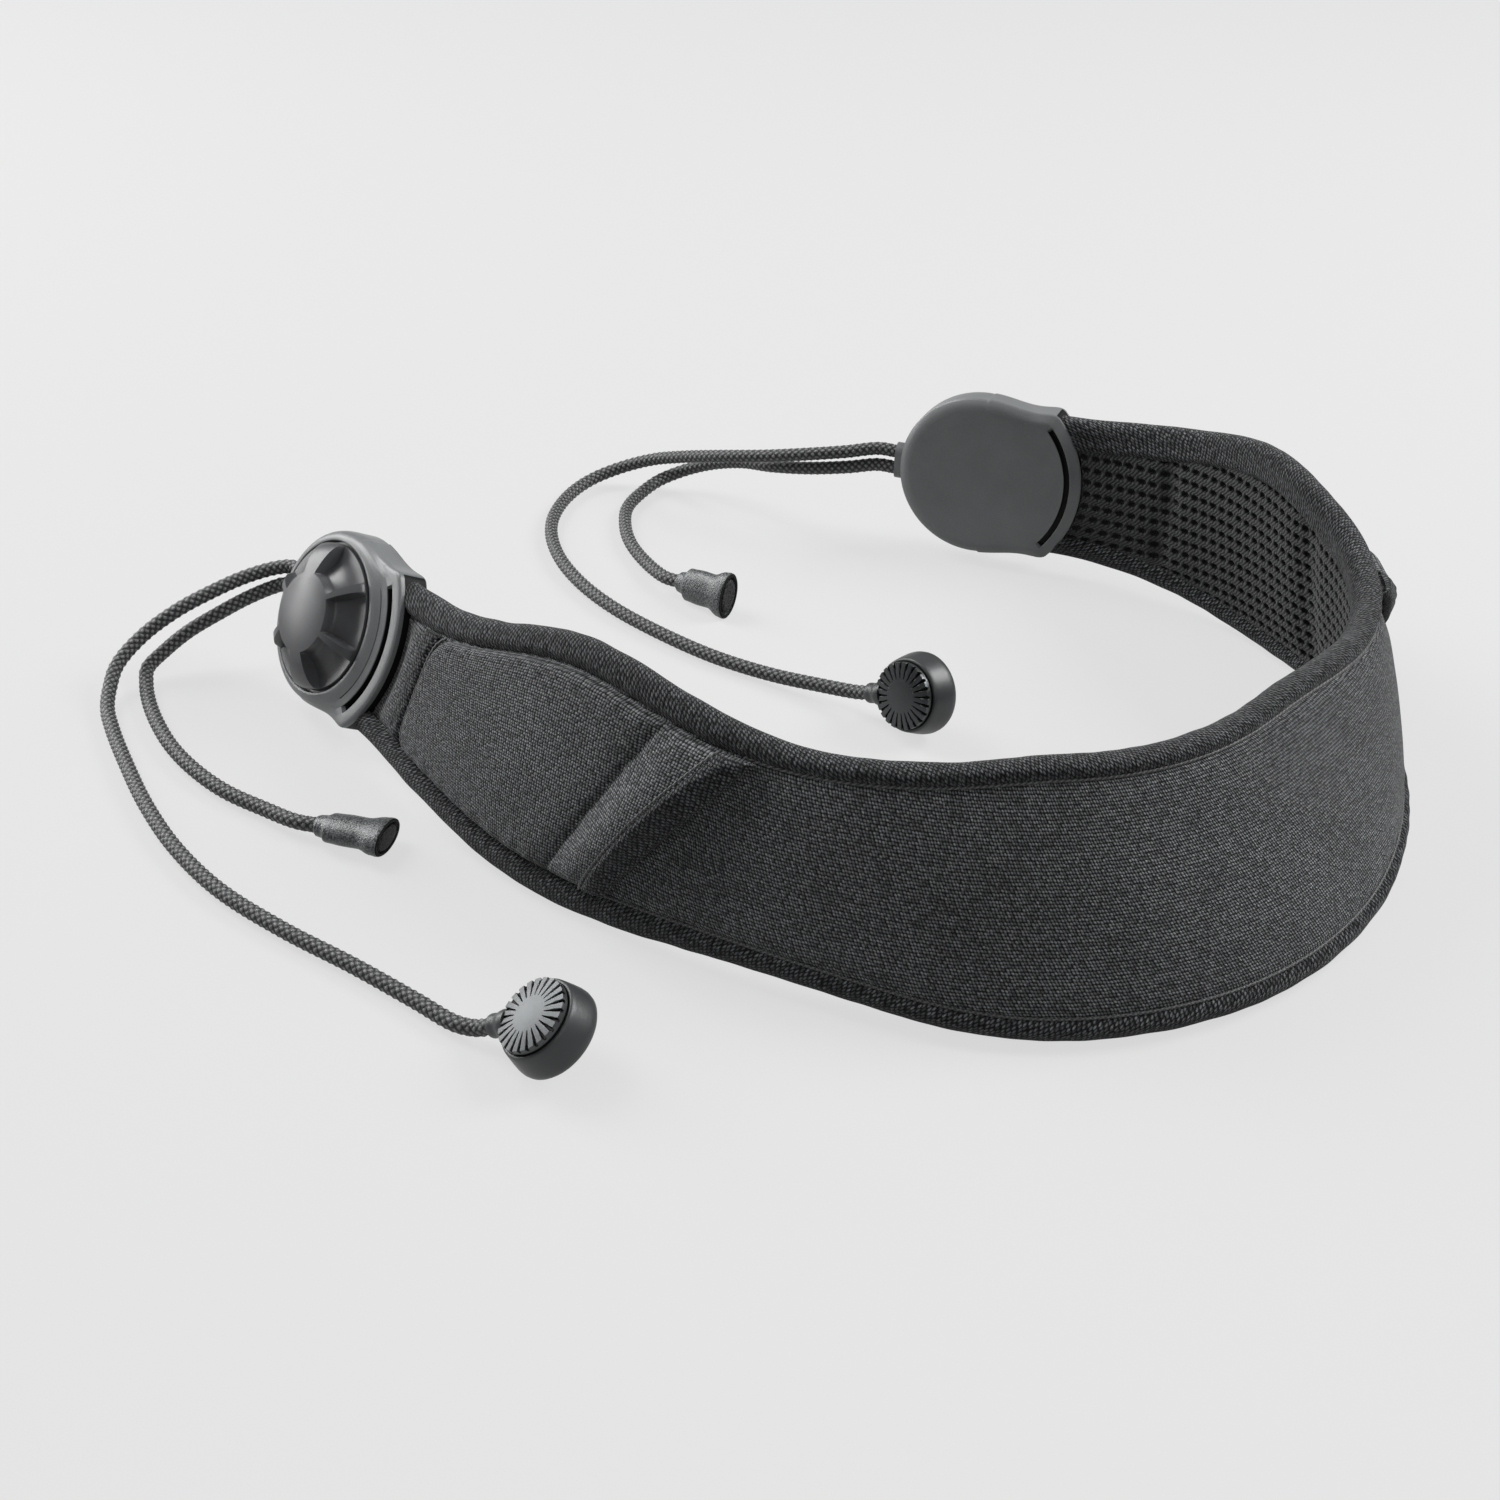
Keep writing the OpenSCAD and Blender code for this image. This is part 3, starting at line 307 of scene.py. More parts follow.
# Routes of the free cords on their adjuster's floor plan, as in the CAD source
ROUTES = {
    "left_long": (
        (10, 2, 26), (14, 10, 24), (16, 20, 21.5), (18, 30, 18), (20, 40, 12.5), (18, 49, 7.5), (13, 54, 4.2),
        (6, 58, 2.5), (-4, 61, 2.1), (-22, 65, 2.1), (-44, 69, 2.1), (-66, 71, 2.1), (-88, 70, 2.1),
        (-111, 65, 2.1), (-134, 58, 2.1), (-153, 53, 2.1), (-166, 50, 2.5)),
    "left_short": (
        (9, 4, 21), (12, 11, 18.5), (14, 19, 15.5), (17, 28, 11), (18, 35, 7), (17, 41, 4), (12, 44, 2.5),
        (4, 47, 2.1), (-8, 50, 2.1), (-22, 52, 2.1), (-36, 52, 2.1), (-50, 50, 2.1), (-63, 46, 2.4)),
    "right_long": (
        (16, 2, 28.5), (28, 4, 26.5), (42, 4, 23.5), (57, 2, 20), (72, -3, 15), (85, -7, 10), (96, -6, 5.6),
        (103, 0, 3.2), (106, 10, 2.2), (105, 24, 2.1), (101, 36, 2.1), (92, 50, 2.1), (79, 63, 2.1),
        (63, 74, 2.1), (44, 83, 2.1), (24, 90, 2.1), (6, 94, 2.6), (-10, 97, 4.2)),
    "right_short": (
        (15, 2, 23.5), (27, 3, 21.5), (40, 1, 19), (53, -5, 15.5), (65, -9, 11), (75, -10, 6.5),
        (82, -6, 3.6), (85, 2, 2.2), (85, 13, 2.1), (81, 24, 2.1), (75, 34, 2.1), (66, 44, 2.3)),
}
STRAIGHT_OUT = 6
STEM_STRAIGHT = 3
CORD_IN_STEM = 2.5
CURVE_STEPS = 24


def exit_y(side, kind):
    """Bore of the gland that a cord uses: the upper one is the long cord's."""
    return CORD_PITCH / 2 * (-1 if (side == "left") == (kind == "long") else 1)


def route(side, kind):
    """Points of a free cord from its gland to its fitting."""
    adjuster = adjuster_frame(side)
    start = [adjuster @ Vector((GLAND_X + d, exit_y(side, kind), CORD_Z)) for d in (0, STRAIGHT_OUT)]
    middle = [plan_point(side, p) for p in ROUTES[f"{side}_{kind}"]]
    if kind == "long":
        fitting = connector_frame(side)
        end = [fitting @ Vector((FERRULE_END + d, 0, STEM_MID)) for d in (STEM_STRAIGHT, 0, -CORD_IN_STEM)]
    else:
        fitting = stopper_frame(side)
        end = [fitting @ Vector((d, 0, 0)) for d in (-STRAIGHT_OUT, 0)]
    return start + middle + end


def smooth_route(points, step):
    """Evenly spaced points on a smooth curve through the route's points."""
    points = [2 * points[0] - points[1], *points, 2 * points[-1] - points[-2]]
    line = []
    for a, b, c, d in zip(points, points[1:], points[2:], points[3:]):
        t0, t1 = 0, (b - a).length ** 0.5
        t2 = t1 + (c - b).length ** 0.5
        t3 = t2 + (d - c).length ** 0.5
        for i in range(CURVE_STEPS):
            t = t1 + (t2 - t1) * i / CURVE_STEPS
            ab = a.lerp(b, (t - t0) / (t1 - t0))
            bc = b.lerp(c, (t - t1) / (t2 - t1))
            cd = c.lerp(d, (t - t2) / (t3 - t2))
            near = ab.lerp(bc, (t - t0) / (t2 - t0))
            far = bc.lerp(cd, (t - t1) / (t3 - t1))
            line.append(near.lerp(far, (t - t1) / (t2 - t1)))
    line.append(points[-2])
    total = sum((q - p).length for p, q in zip(line, line[1:]))
    count = round(total / step)
    even, walked, k = [line[0]], 0.0, 0
    for i in range(1, count):
        want = total * i / count
        while walked + (line[k + 1] - line[k]).length < want:
            walked += (line[k + 1] - line[k]).length
            k += 1
        even.append(line[k].lerp(line[k + 1], (want - walked) / (line[k + 1] - line[k]).length))
    return even + [line[-1]]


def route_length(path):
    return sum((q - p).length for p, q in zip(path, path[1:]))


# Making meshes: a shape from an operator, laid out for its pattern, then moved into place
def unit_grid(x_cuts, y_cuts):
    """A flat grid from (0, 0) to (1, 1)."""
    bm = bmesh.new()
    bm.loops.layers.uv.new("UVMap")
    bmesh.ops.create_grid(
        bm, x_segments=x_cuts, y_segments=y_cuts, size=0.5, matrix=Matrix.Translation((0.5, 0.5, 0)))
    return bm


def put(bm, place, spread=None):
    """Lays out the pattern by spread(x, y) in metres, then moves every point to place(x, y, z)."""
    uv = bm.loops.layers.uv.verify()
    if spread:
        for face in bm.faces:
            for loop in face.loops:
                loop[uv].uv = spread(loop.vert.co.x, loop.vert.co.y)
    for vert in bm.verts:
        vert.co = place(*vert.co)


def lift(bm, made):
    """Moves the points that an extrusion or a copy made up to height 1."""
    verts = [part for part in made["geom"] if isinstance(part, bmesh.types.BMVert)]
    bmesh.ops.translate(bm, verts=verts, vec=UP)


def slab(x_cuts, y_cuts, place, spread):
    """A closed slab of cloth: a grid whose second face, at height 1, is extruded from the first."""
    bm = unit_grid(x_cuts, y_cuts)
    lift(bm, bmesh.ops.extrude_face_region(bm, geom=bm.faces[:], use_keep_orig=True))
    put(bm, place, spread)
    bmesh.ops.recalc_face_normals(bm, faces=bm.faces)
    return bm


def turned(profile, steps, closed=False):
    """A body turned about Z from pairs of radius and height."""
    bm = bmesh.new()
    verts = [bm.verts.new((r, 0, z)) for r, z in profile]
    pairs = list(zip(verts, verts[1:])) + ([(verts[-1], verts[0])] if closed else [])
    edges = [bm.edges.new(pair) for pair in pairs]
    bmesh.ops.spin(
        bm, geom=verts + edges, cent=(0, 0, 0), axis=UP, dvec=(0, 0, 0), angle=2 * math.pi, steps=steps,
        use_merge=True)
    bmesh.ops.remove_doubles(bm, verts=bm.verts, dist=WELD)
    bmesh.ops.recalc_face_normals(bm, faces=bm.faces)
    return bm


def tube(path, around, radius):
    """A tube along a path; radius(length, share of a turn) gives its relief, kept as the strand attribute."""
    bm = unit_grid(len(path) - 1, around)
    strand = bm.verts.layers.float.new("strand")
    last = len(path) - 1
    ways = [(path[min(i + 1, last)] - path[max(i - 1, 0)]).normalized() for i in range(last + 1)]
    sides = [ways[0].orthogonal().normalized()]
    for way in ways[1:]:
        sides.append((sides[-1] - way * sides[-1].dot(way)).normalized())
    length = route_length(path)

    def place(x, y, z):
        i = round(x * last)
        a = 2 * math.pi * y
        spoke = sides[i] * math.cos(a) + ways[i].cross(sides[i]) * math.sin(a)
        return path[i] + spoke * radius(x * length, y)[0]

    for vert in bm.verts:
        vert[strand] = radius(vert.co.x * length, vert.co.y)[1]
    put(bm, place, lambda x, y: (x * length * MM, y))
    bmesh.ops.remove_doubles(bm, verts=bm.verts, dist=WELD)
    bmesh.ops.holes_fill(bm, edges=bm.edges[:], sides=0)
    bmesh.ops.recalc_face_normals(bm, faces=bm.faces)
    return bm


def twist(length, turn):
    """Radius and strand height of a thin two-ply thread."""
    height = math.sin(math.pi * ((2 * turn + length / 1.5) % 1))
    return 0.3 + 0.13 * height, height


def piece(name, bm, finishes, body, replaced=(), turn=None, sharp=40):
    """An object of a mesh in millimetres: set in the frame, finished and tied to its body, with the CAD nodes
    it replaces hidden.
    """
    bmesh.ops.transform(bm, matrix=Matrix.Scale(MM, 4) @ (turn or Matrix()), verts=bm.verts)
    mesh = bpy.data.meshes.new(name)
    bm.to_mesh(mesh)
    bm.free()
    for material in finishes:
        mesh.materials.append(material)
    mesh.shade_smooth()
    mesh.set_sharp_from_angle(angle=math.radians(sharp))
    made = bpy.data.objects.new(name, mesh)
    bpy.context.scene.collection.objects.link(made)
    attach(made, body)
    if replaced:
        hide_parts(*replaced)
    return made


def both_ends(part, bm, finishes, body, node, frame_of, sharp):
    """The same piece at both ends of the strap; a body of an end's own is named with {} for the side."""
    for side in SIDES:
        nodes = [f"{side}_{node}"]
        piece(f"{side}_{part}", bm.copy(), finishes, body.format(side), nodes, frame_of(side), sharp)
    bm.free()


def refinish(node, material):
    """Gives a CAD node that stays in view a better material."""
    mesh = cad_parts[node].data
    mesh.materials.clear()
    mesh.materials.append(material)


# Finishes
def add(tree, kind, inputs=None, **settings):
    """Adds a shader node with its settings, and fills or links its inputs; a node means its first output."""
    made = tree.nodes.new("ShaderNode" + kind)
    for key, value in settings.items():
        setattr(made, key, value)
    for key, value in (inputs or {}).items():
        if isinstance(value, bpy.types.Node):
            value = value.outputs[0]
        if isinstance(value, bpy.types.NodeSocket):
            tree.links.new(value, made.inputs[key])
        else:
            made.inputs[key].default_value = value
    return made


def finish(recipe):
    """Makes a recipe for a shader into a function of a material's name, which builds it at its first call."""
    @functools.wraps(recipe)
    def give(name, *values, **options):
        made = bpy.data.materials.get(name)
        if not made:
            made = bpy.data.materials.new(name)
            made.use_nodes = True
            tree = made.node_tree
            tree.nodes.clear()
            add(tree, "OutputMaterial", {"Surface": recipe(tree, *values, **options)})
        return made
    return give


@finish
def knit_cloth(tree, yarn, wale, course, slant, depth, loose, pale=4.4, mixed=0.5, wide=0.6):
    """Knitted polyester: staggered rows of small loops in matt fuzzy yarn, each its own tone; each loop is
    painted light on its crest and near black at its edge, shade painted between the loops to follow their
    relief.
    Wale and course are the loops' spacing in millimetres, wide is a loop's reach as a share of it."""
    gap_shade, patch, fibre, patch_size = 0.08, 0.12, 0.45, 24
    uv = add(tree, "UVMap", uv_map="UVMap")
    xy = add(tree, "SeparateXYZ", {0: uv}).outputs
    where = add(tree, "TexCoord").outputs["Object"]
    rows = add(tree, "Math", {0: xy[1], 1: wale * MM}, operation="DIVIDE")
    middle = add(tree, "Math", {0: rows, 1: loose / 2}, operation="SUBTRACT")
    number = add(tree, "Math", {0: middle}, operation="ROUND")
    share = add(tree, "Math", {0: middle, 1: number}, operation="SUBTRACT")
    loops = add(tree, "Math", {0: xy[0], 1: course * MM}, operation="DIVIDE")
    brick = add(tree, "Math", {0: number, 1: 0.5, 2: loops}, operation="MULTIPLY_ADD")
    lean = add(tree, "Math", {0: share, 1: slant, 2: brick}, operation="MULTIPLY_ADD")
    net = add(tree, "CombineXYZ", {0: lean, 1: rows})
    cells = {"Vector": net, "Scale": 1.0, "Randomness": loose}
    loop = add(tree, "TexVoronoi", cells, voronoi_dimensions="2D").outputs
    back = add(tree, "MapRange", {0: loop["Distance"], 1: wide, 2: 0.12}, interpolation_type="SMOOTHSTEP")
    own = add(tree, "SeparateXYZ", {0: loop["Color"]})
    shade = add(tree, "MapRange", {0: own, 3: 1 - mixed, 4: 1 + mixed})
    level = add(tree, "Math", {0: back, 1: shade}, operation="MULTIPLY")
    fuzz = add(tree, "TexNoise", {"Vector": where, "Scale": 1 / (fibre * MM), "Detail": 3.0})
    surface = add(tree, "Math", {0: fuzz, 1: 0.6, 2: back}, operation="MULTIPLY_ADD")
    # Painted light and shade: the colour runs with each loop's height, from the near black of the gaps to pale
    # on the crests
    ends = {0: level, 6: shaded(yarn, gap_shade), 7: shaded(yarn, pale)}
    tones = add(tree, "Mix", ends, data_type="RGBA", clamp_factor=False).outputs[2]
    worn = add(tree, "TexNoise", {"Vector": where, "Scale": 1 / (patch_size * MM), "Detail": 4.0})
    cast = add(tree, "MapRange", {0: worn, 1: 0.3, 2: 0.7, 3: 1 - patch, 4: 1 + patch})
    fleck = add(tree, "MapRange", {0: fuzz, 1: 0.35, 2: 0.7, 3: 0.75, 4: 1.35})
    both = add(tree, "Math", {0: cast, 1: fleck}, operation="MULTIPLY")
    colour = add(tree, "VectorMath", {0: tones, "Scale": both}, operation="SCALE")
    bump = add(tree, "Bump", {"Height": surface, "Distance": depth * MM, "Strength": 1.0})
    return add(tree, "BsdfPrincipled", {
        "Base Color": colour, "Roughness": 0.92, "Normal": bump, "Sheen Weight": 0.12, "Sheen Roughness": 0.5,
        "Specular IOR Level": 0.2})


@finish
def moulded(tree, colour, rough, grit, depth, metallic=0.0, specular=0.35, speckle=0.0):
    """Moulded plastic or rubber: an even colour with the fine grit of a sparked mould and uneven gloss."""
    patch, uneven, patch_size = 0.08, 0.05, 11
    where = add(tree, "TexCoord").outputs["Object"]
    grain = add(tree, "TexNoise", {"Vector": where, "Scale": 1 / (grit * MM), "Detail": 2.0})
    cloud = add(tree, "TexNoise", {"Vector": where, "Scale": 1 / (patch_size * MM), "Detail": 3.0})
    gloss = add(tree, "MapRange", {0: cloud, 1: 0.3, 2: 0.7, 3: rough - uneven, 4: rough + uneven})
    cast = add(tree, "MapRange", {0: cloud, 1: 0.3, 2: 0.7, 3: 1 - patch, 4: 1 + patch})
    pits = add(tree, "MapRange", {0: grain, 1: 0.35, 2: 0.65, 3: 1 - speckle, 4: 1 + speckle})
    both = add(tree, "Math", {0: cast, 1: pits}, operation="MULTIPLY")
    tint = add(tree, "VectorMath", {0: list(colour[:3]), "Scale": both}, operation="SCALE")
    bump = add(tree, "Bump", {"Height": grain, "Distance": depth * MM, "Strength": 1.0})
    return add(tree, "BsdfPrincipled", {
        "Base Color": tint, "Roughness": gloss, "Normal": bump, "Metallic": metallic,
        "Specular IOR Level": specular})


@finish
def spacer_mesh(tree, yarn):
    """Warp-knitted spacer mesh: black polyester, each bar twisted like a thin rope, with a soft sheen; the
    twists are painted lighter on their ridges and darker in their grooves, light and shade painted to the
    relief.
    """
    rib, steepness, fibre, relief = 1.3, 0.7, 0.5, 0.18
    uv = add(tree, "UVMap", uv_map="UVMap")
    xy = add(tree, "SeparateXYZ", {0: uv}).outputs
    where = add(tree, "TexCoord").outputs["Object"]
    steep = add(tree, "Math", {0: xy[1], 1: steepness, 2: xy[0]}, operation="MULTIPLY_ADD")
    ribs = add(tree, "Math", {0: steep, 1: 2 * math.pi / (rib * MM)}, operation="MULTIPLY")
    wave = add(tree, "Math", {0: ribs}, operation="SINE")
    fuzz = add(tree, "TexNoise", {"Vector": where, "Scale": 1 / (fibre * MM), "Detail": 3.0})
    height = add(tree, "Math", {0: wave, 1: 0.5, 2: fuzz}, operation="MULTIPLY_ADD")
    # Painted light and shade: the colour follows the rope's height
    cast = add(tree, "MapRange", {0: height, 1: 0.0, 2: 1.0, 3: 0.2, 4: 2.2})
    tint = add(tree, "VectorMath", {0: list(yarn[:3]), "Scale": cast}, operation="SCALE")
    bump = add(tree, "Bump", {"Height": height, "Distance": relief * MM, "Strength": 1.0})
    return add(tree, "BsdfPrincipled", {
        "Base Color": tint, "Roughness": 0.85, "Normal": bump, "Sheen Weight": 0.2,
        "Specular IOR Level": 0.25})


@finish
def braided_yarn(tree, dark, pale):
    """Braided polyester cord: shiny filament strands, painted grey on their backs and black in the gaps, light
    and shade painted to the strands' height.
    """
    fibre, relief = 0.4, 0.1
    strand = add(tree, "Attribute", attribute_name="strand").outputs["Fac"]
    where = add(tree, "TexCoord").outputs["Object"]
    fuzz = add(tree, "TexNoise", {"Vector": where, "Scale": 1 / (fibre * MM), "Detail": 2.0})
    share = add(tree, "MapRange", {0: strand, 1: 0.42, 2: 0.9, 4: 1.7})
    level = add(tree, "Math", {0: share, 1: fuzz}, operation="MULTIPLY")
    # Painted highlight and shade: the strand attribute is the height of the relief
    tint = add(tree, "Mix", {0: level, 6: dark, 7: pale}, data_type="RGBA").outputs[2]
    bump = add(tree, "Bump", {"Height": fuzz, "Distance": relief * MM, "Strength": 0.8})
    return add(tree, "BsdfPrincipled", {
        "Base Color": tint, "Roughness": 0.55, "Normal": bump, "Sheen Weight": 0.1})


@finish
def pale_paper(tree):
    """Matt paper sweep: even and pale to the eye and in reflections, with the object's soft shadow kept."""
    lit = add(tree, "BsdfDiffuse", {"Color": linear("#8C8C8C")})
    flat = add(tree, "Emission", {"Color": (1, 1, 1, 1), "Strength": 1.0})
    rays = add(tree, "LightPath").outputs
    seen = add(tree, "Math", {0: rays["Is Camera Ray"], 1: rays["Is Glossy Ray"]}, operation="MAXIMUM")
    seen = add(tree, "Math", {0: seen, 1: rays["Is Transmission Ray"]}, operation="MAXIMUM")
    share = add(tree, "Math", {0: seen, 1: 0.65}, operation="MULTIPLY")
    return add(tree, "MixShader", {0: share, 1: lit, 2: flat})


class StrapColours(bpy.types.PropertyGroup):
    """Colours of the finishes."""
    knit: FloatVectorProperty(
        name="Knit", description="Knit faces of the pad", subtype="COLOR", size=4, default=linear("#353637"))
    tape: FloatVectorProperty(
        name="Tape", description="Bindings and cross tapes", subtype="COLOR", size=4,
        default=linear("#1D1E1F"))
    mesh: FloatVectorProperty(
        name="Mesh", description="Mesh lining", subtype="COLOR", size=4, default=linear("#282929"))
    foam: FloatVectorProperty(
        name="Foam", description="Foam core", subtype="COLOR", size=4, default=linear("#8A8A86"))
    housing: FloatVectorProperty(
        name="Housing", description="Adjuster shells", subtype="COLOR", size=4, default=linear("#6A6C6D"))
    knob: FloatVectorProperty(
        name="Knob", description="Adjuster knobs", subtype="COLOR", size=4, default=linear("#454648"))
    dial: FloatVectorProperty(
        name="Dial", description="Connector dials", subtype="COLOR", size=4, default=linear("#4C4E4F"))
    rubber: FloatVectorProperty(
        name="Rubber", description="Collars and stems", subtype="COLOR", size=4, default=linear("#323435"))
    # Also the black painted as shade on the adjusters' slot, grooves and strap-mouth wall, in the dial grooves
    # and on the stoppers' rims
    black: FloatVectorProperty(
        name="Black", description="Black plastic and webbing", subtype="COLOR", size=4,
        default=linear("#1A1A1B"))
    steel: FloatVectorProperty(
        name="Steel", description="Pins, cams and wires", subtype="COLOR", size=4, default=linear("#B4B6B8"))
    # The grey painted on the strands' backs as their highlight; the gaps between them are painted near black
    cord: FloatVectorProperty(
        name="Cord", description="Backs of the cord's strands", subtype="COLOR", size=4,
        default=linear("#747576"))


class StrapSizes(bpy.types.PropertyGroup):
    """Sizes of the detail."""
    knit_row: FloatProperty(
        name="Knit row", description="Distance between two rows of the fine knit", default=0.8 * MM,
        min=0.3 * MM, max=3 * MM, unit="LENGTH")
    tape_row: FloatProperty(
        name="Tape row", description="Distance between two rows of the tape's knit", default=1.15 * MM,
        min=0.5 * MM, max=4 * MM, unit="LENGTH")
    mesh_along: FloatProperty(
        name="Mesh along", description="Distance between two holes of a row of the mesh", default=3.7 * MM,
        min=MM, max=8 * MM, unit="LENGTH")
    mesh_across: FloatProperty(
        name="Mesh across", description="Distance between two rows of holes", default=3.8 * MM,
        min=MM, max=8 * MM, unit="LENGTH")
    cord: FloatProperty(
        name="Cord", description="Diameter of the cords", default=4 * MM,
        min=2 * MM, max=6 * MM, unit="LENGTH")
    strands: IntProperty(
        name="Strands", description="Strands of the braid that run each way", default=6, min=4, max=16)
    braid_lay: FloatProperty(
        name="Braid lay", description="Length of one strand's crossing", default=2.1 * MM,
        min=0.8 * MM, max=6 * MM, unit="LENGTH")
    scoop_width: FloatProperty(
        name="Scoop", description="Width of a knob's scoop about its axis", default=math.radians(45),
        min=math.radians(30), max=math.radians(46), subtype="ANGLE")
    dial_grooves: IntProperty(
        name="Dial grooves", description="Grooves in a connector's dial", default=24, min=8, max=36)


def colours():
    return bpy.context.scene.strap_colours


def sizes():
    return bpy.context.scene.strap_sizes


def fine_knit():
    """Jersey on neoprene: fine loops in rows along the strap, drawn a little coarse so that they show."""
    row = sizes().knit_row / MM
    return knit_cloth("neoprene_jersey", colours().knit, row, row, 0.5, 0.2, 0.25)


def coarse_knit():
    """Rib-knit binding tape: coarse slanted loops of dark yarn, painted light on their crests and near black
    between them, a painted highlight and shade.
    """
    row = sizes().tape_row / MM
    return knit_cloth(
        "rib_knit_tape", colours().tape, row, row * 0.75, 0.9, 0.32, 0.3, pale=7.0, mixed=0.6, wide=0.54)


def sewing_thread():
    """Twisted polyester thread, paler than the cloth it holds, its plies painted light on their backs and dark
    where they twist in.
    """
    return braided_yarn("sewing_thread", shaded(colours().tape, 0.5), shaded(colours().cord, 0.65))


def housing_plastic():
    """Sparked glass-filled nylon: mid grey with a broad satin glint."""
    return moulded("satin_nylon", colours().housing, 0.36, 0.35, 0.012, specular=0.45, speckle=0.07)


def black_plastic():
    """Plain acetal: near black, with hardly a glint, for sockets, clamp shoes and eye rings; also painted as
    shade on slot, groove and strap-mouth walls and in the dial grooves.
    """
    return moulded("black_acetal", shaded(colours().black, 0.6), 0.5, 0.3, 0.01, specular=0.12)


def soft_rubber():
    """Moulded thermoplastic rubber: dark grey, with a soft low gloss."""
    return moulded("soft_rubber", colours().rubber, 0.42, 0.35, 0.01, specular=0.5)


# The stage, in metres: the camera, and lamps with their place, size and power, aimed at the strap's middle
CAMERA_AT = (-0.02002, -0.49629, 0.31981)
CAMERA_TILT = 57
CAMERA_ANGLE = 37.62
LAMP_AIM = Vector((0, 0, 0.02))
LAMPS = (
    ("key", (-0.75, 0.5, 0.95), 0.6, 12), ("side", (-1.05, 0.68, 0.42), 0.5, 6.5),
    ("rim", (0.95, 0.25, 0.85), 0.6, 18), ("fill", (0.25, -1.15, 0.95), 1, 3),
    ("glint", (-1.1, 0.3, 0.14), 0.35, 2.2))
FLOOR_HALF = 6
FLOOR_Z = -0.0004


class STRAP_OT_stage(bpy.types.Operator):
    """Floor, soft studio light and the camera"""
    bl_idname = "strap.stage"
    bl_label = "Stage"

    def execute(self, context):
        scene = context.scene
        scene.view_settings.view_transform = "Standard"
        bm = bmesh.new()
        low = Matrix.Translation((0, 0, FLOOR_Z))
        bmesh.ops.create_grid(bm, x_segments=2, y_segments=2, size=FLOOR_HALF, matrix=low)
        mesh = bpy.data.meshes.new("floor")
        bm.to_mesh(mesh)
        bm.free()
        mesh.materials.append(pale_paper("pale_paper"))
        floor = bpy.data.objects.new("floor", mesh)
        scene.collection.objects.link(floor)
        world = bpy.data.worlds.new("studio")
        scene.world = world
        world.use_nodes = True
        sky = world.node_tree
        sky.nodes.clear()
        way = add(sky, "TexCoord").outputs["Generated"]
        parts = add(sky, "SeparateXYZ", {0: way}).outputs
        level = add(sky, "MapRange", {0: parts[2], 1: -0.1, 2: 0.9, 3: 0.12, 4: 0.34})
        glow = add(sky, "Background", {"Color": (1, 1, 1, 1), "Strength": level})
        add(sky, "OutputWorld", {"Surface": glow})
        for name, place, size, power in LAMPS:
            lamp = bpy.data.lights.new(name, "AREA")
            lamp.size = size
            lamp.energy = power
            made = bpy.data.objects.new(name, lamp)
            scene.collection.objects.link(made)
            made.location = place
            made.rotation_mode = "QUATERNION"
            made.rotation_quaternion = (LAMP_AIM - made.location).to_track_quat("-Z", "Y")
        camera = bpy.data.cameras.new("camera")
        camera.angle = math.radians(CAMERA_ANGLE)
        made = bpy.data.objects.new("camera", camera)
        scene.collection.objects.link(made)
        made.location = CAMERA_AT
        made.rotation_euler = (math.radians(CAMERA_TILT), 0, 0)
        scene.camera = made
        return {"FINISHED"}


class STRAP_OT_cords(bpy.types.Operator):
    """Braided cords: two free ones at each adjuster and the loop between them inside it"""
    bl_idname = "strap.cords"
    bl_label = "Cords"

    def execute(self, context):
        strands, lay, radius = sizes().strands, sizes().braid_lay / MM, sizes().cord / MM / 2
        sunk, relief, step, inner_step = 0.32, 0.4, 0.36, 0.5
        # Painted shade in the braid's gaps (#080809) and a painted highlight on the strands' backs (the cord
        # colour)
        yarn = braided_yarn("braided_polyester", linear("#080809"), colours().cord)

        def braid(length, turn):
            """Radius and strand height: strands of two ways that pass over and under each other."""
            a = turn * strands + length / lay
            b = turn * strands - length / lay
            over = (math.floor(a) + math.floor(b)) % 2
            across, forth = (b % 1, a % 1) if over else (a % 1, b % 1)
            height = math.sin(math.pi * across) ** 0.8 * (0.35 + 0.65 * math.sin(math.pi * forth))
            return radius - sunk + relief * height, height

        for side in SIDES:
            for kind in ("long", "short"):
                path = smooth_route(route(side, kind), step)
                piece(f"{side}_{kind}_braid", tube(path, 8 * strands, braid), [yarn], "strap",
                      [f"{side}_{kind}_cord"], sharp=180)
        bend = [
            (GLAND_X, 2.6), (20, 2.6), (17.6, 2.6), (8, 5.6), (3.2, 6.5), (-1.5, 6.7), (-5.2, 4.2), (-6.9, 0)]
        bend += [(x, -y) for x, y in bend[-2::-1]]
        points = [Vector((x, y, CORD_Z)) for x, y in bend]
        loop = tube(smooth_route(points, inner_step), 4 * strands, braid)
        both_ends("inner_loop", loop, [yarn], "strap", "cord_loop", adjuster_frame, 180)
        return {"FINISHED"}


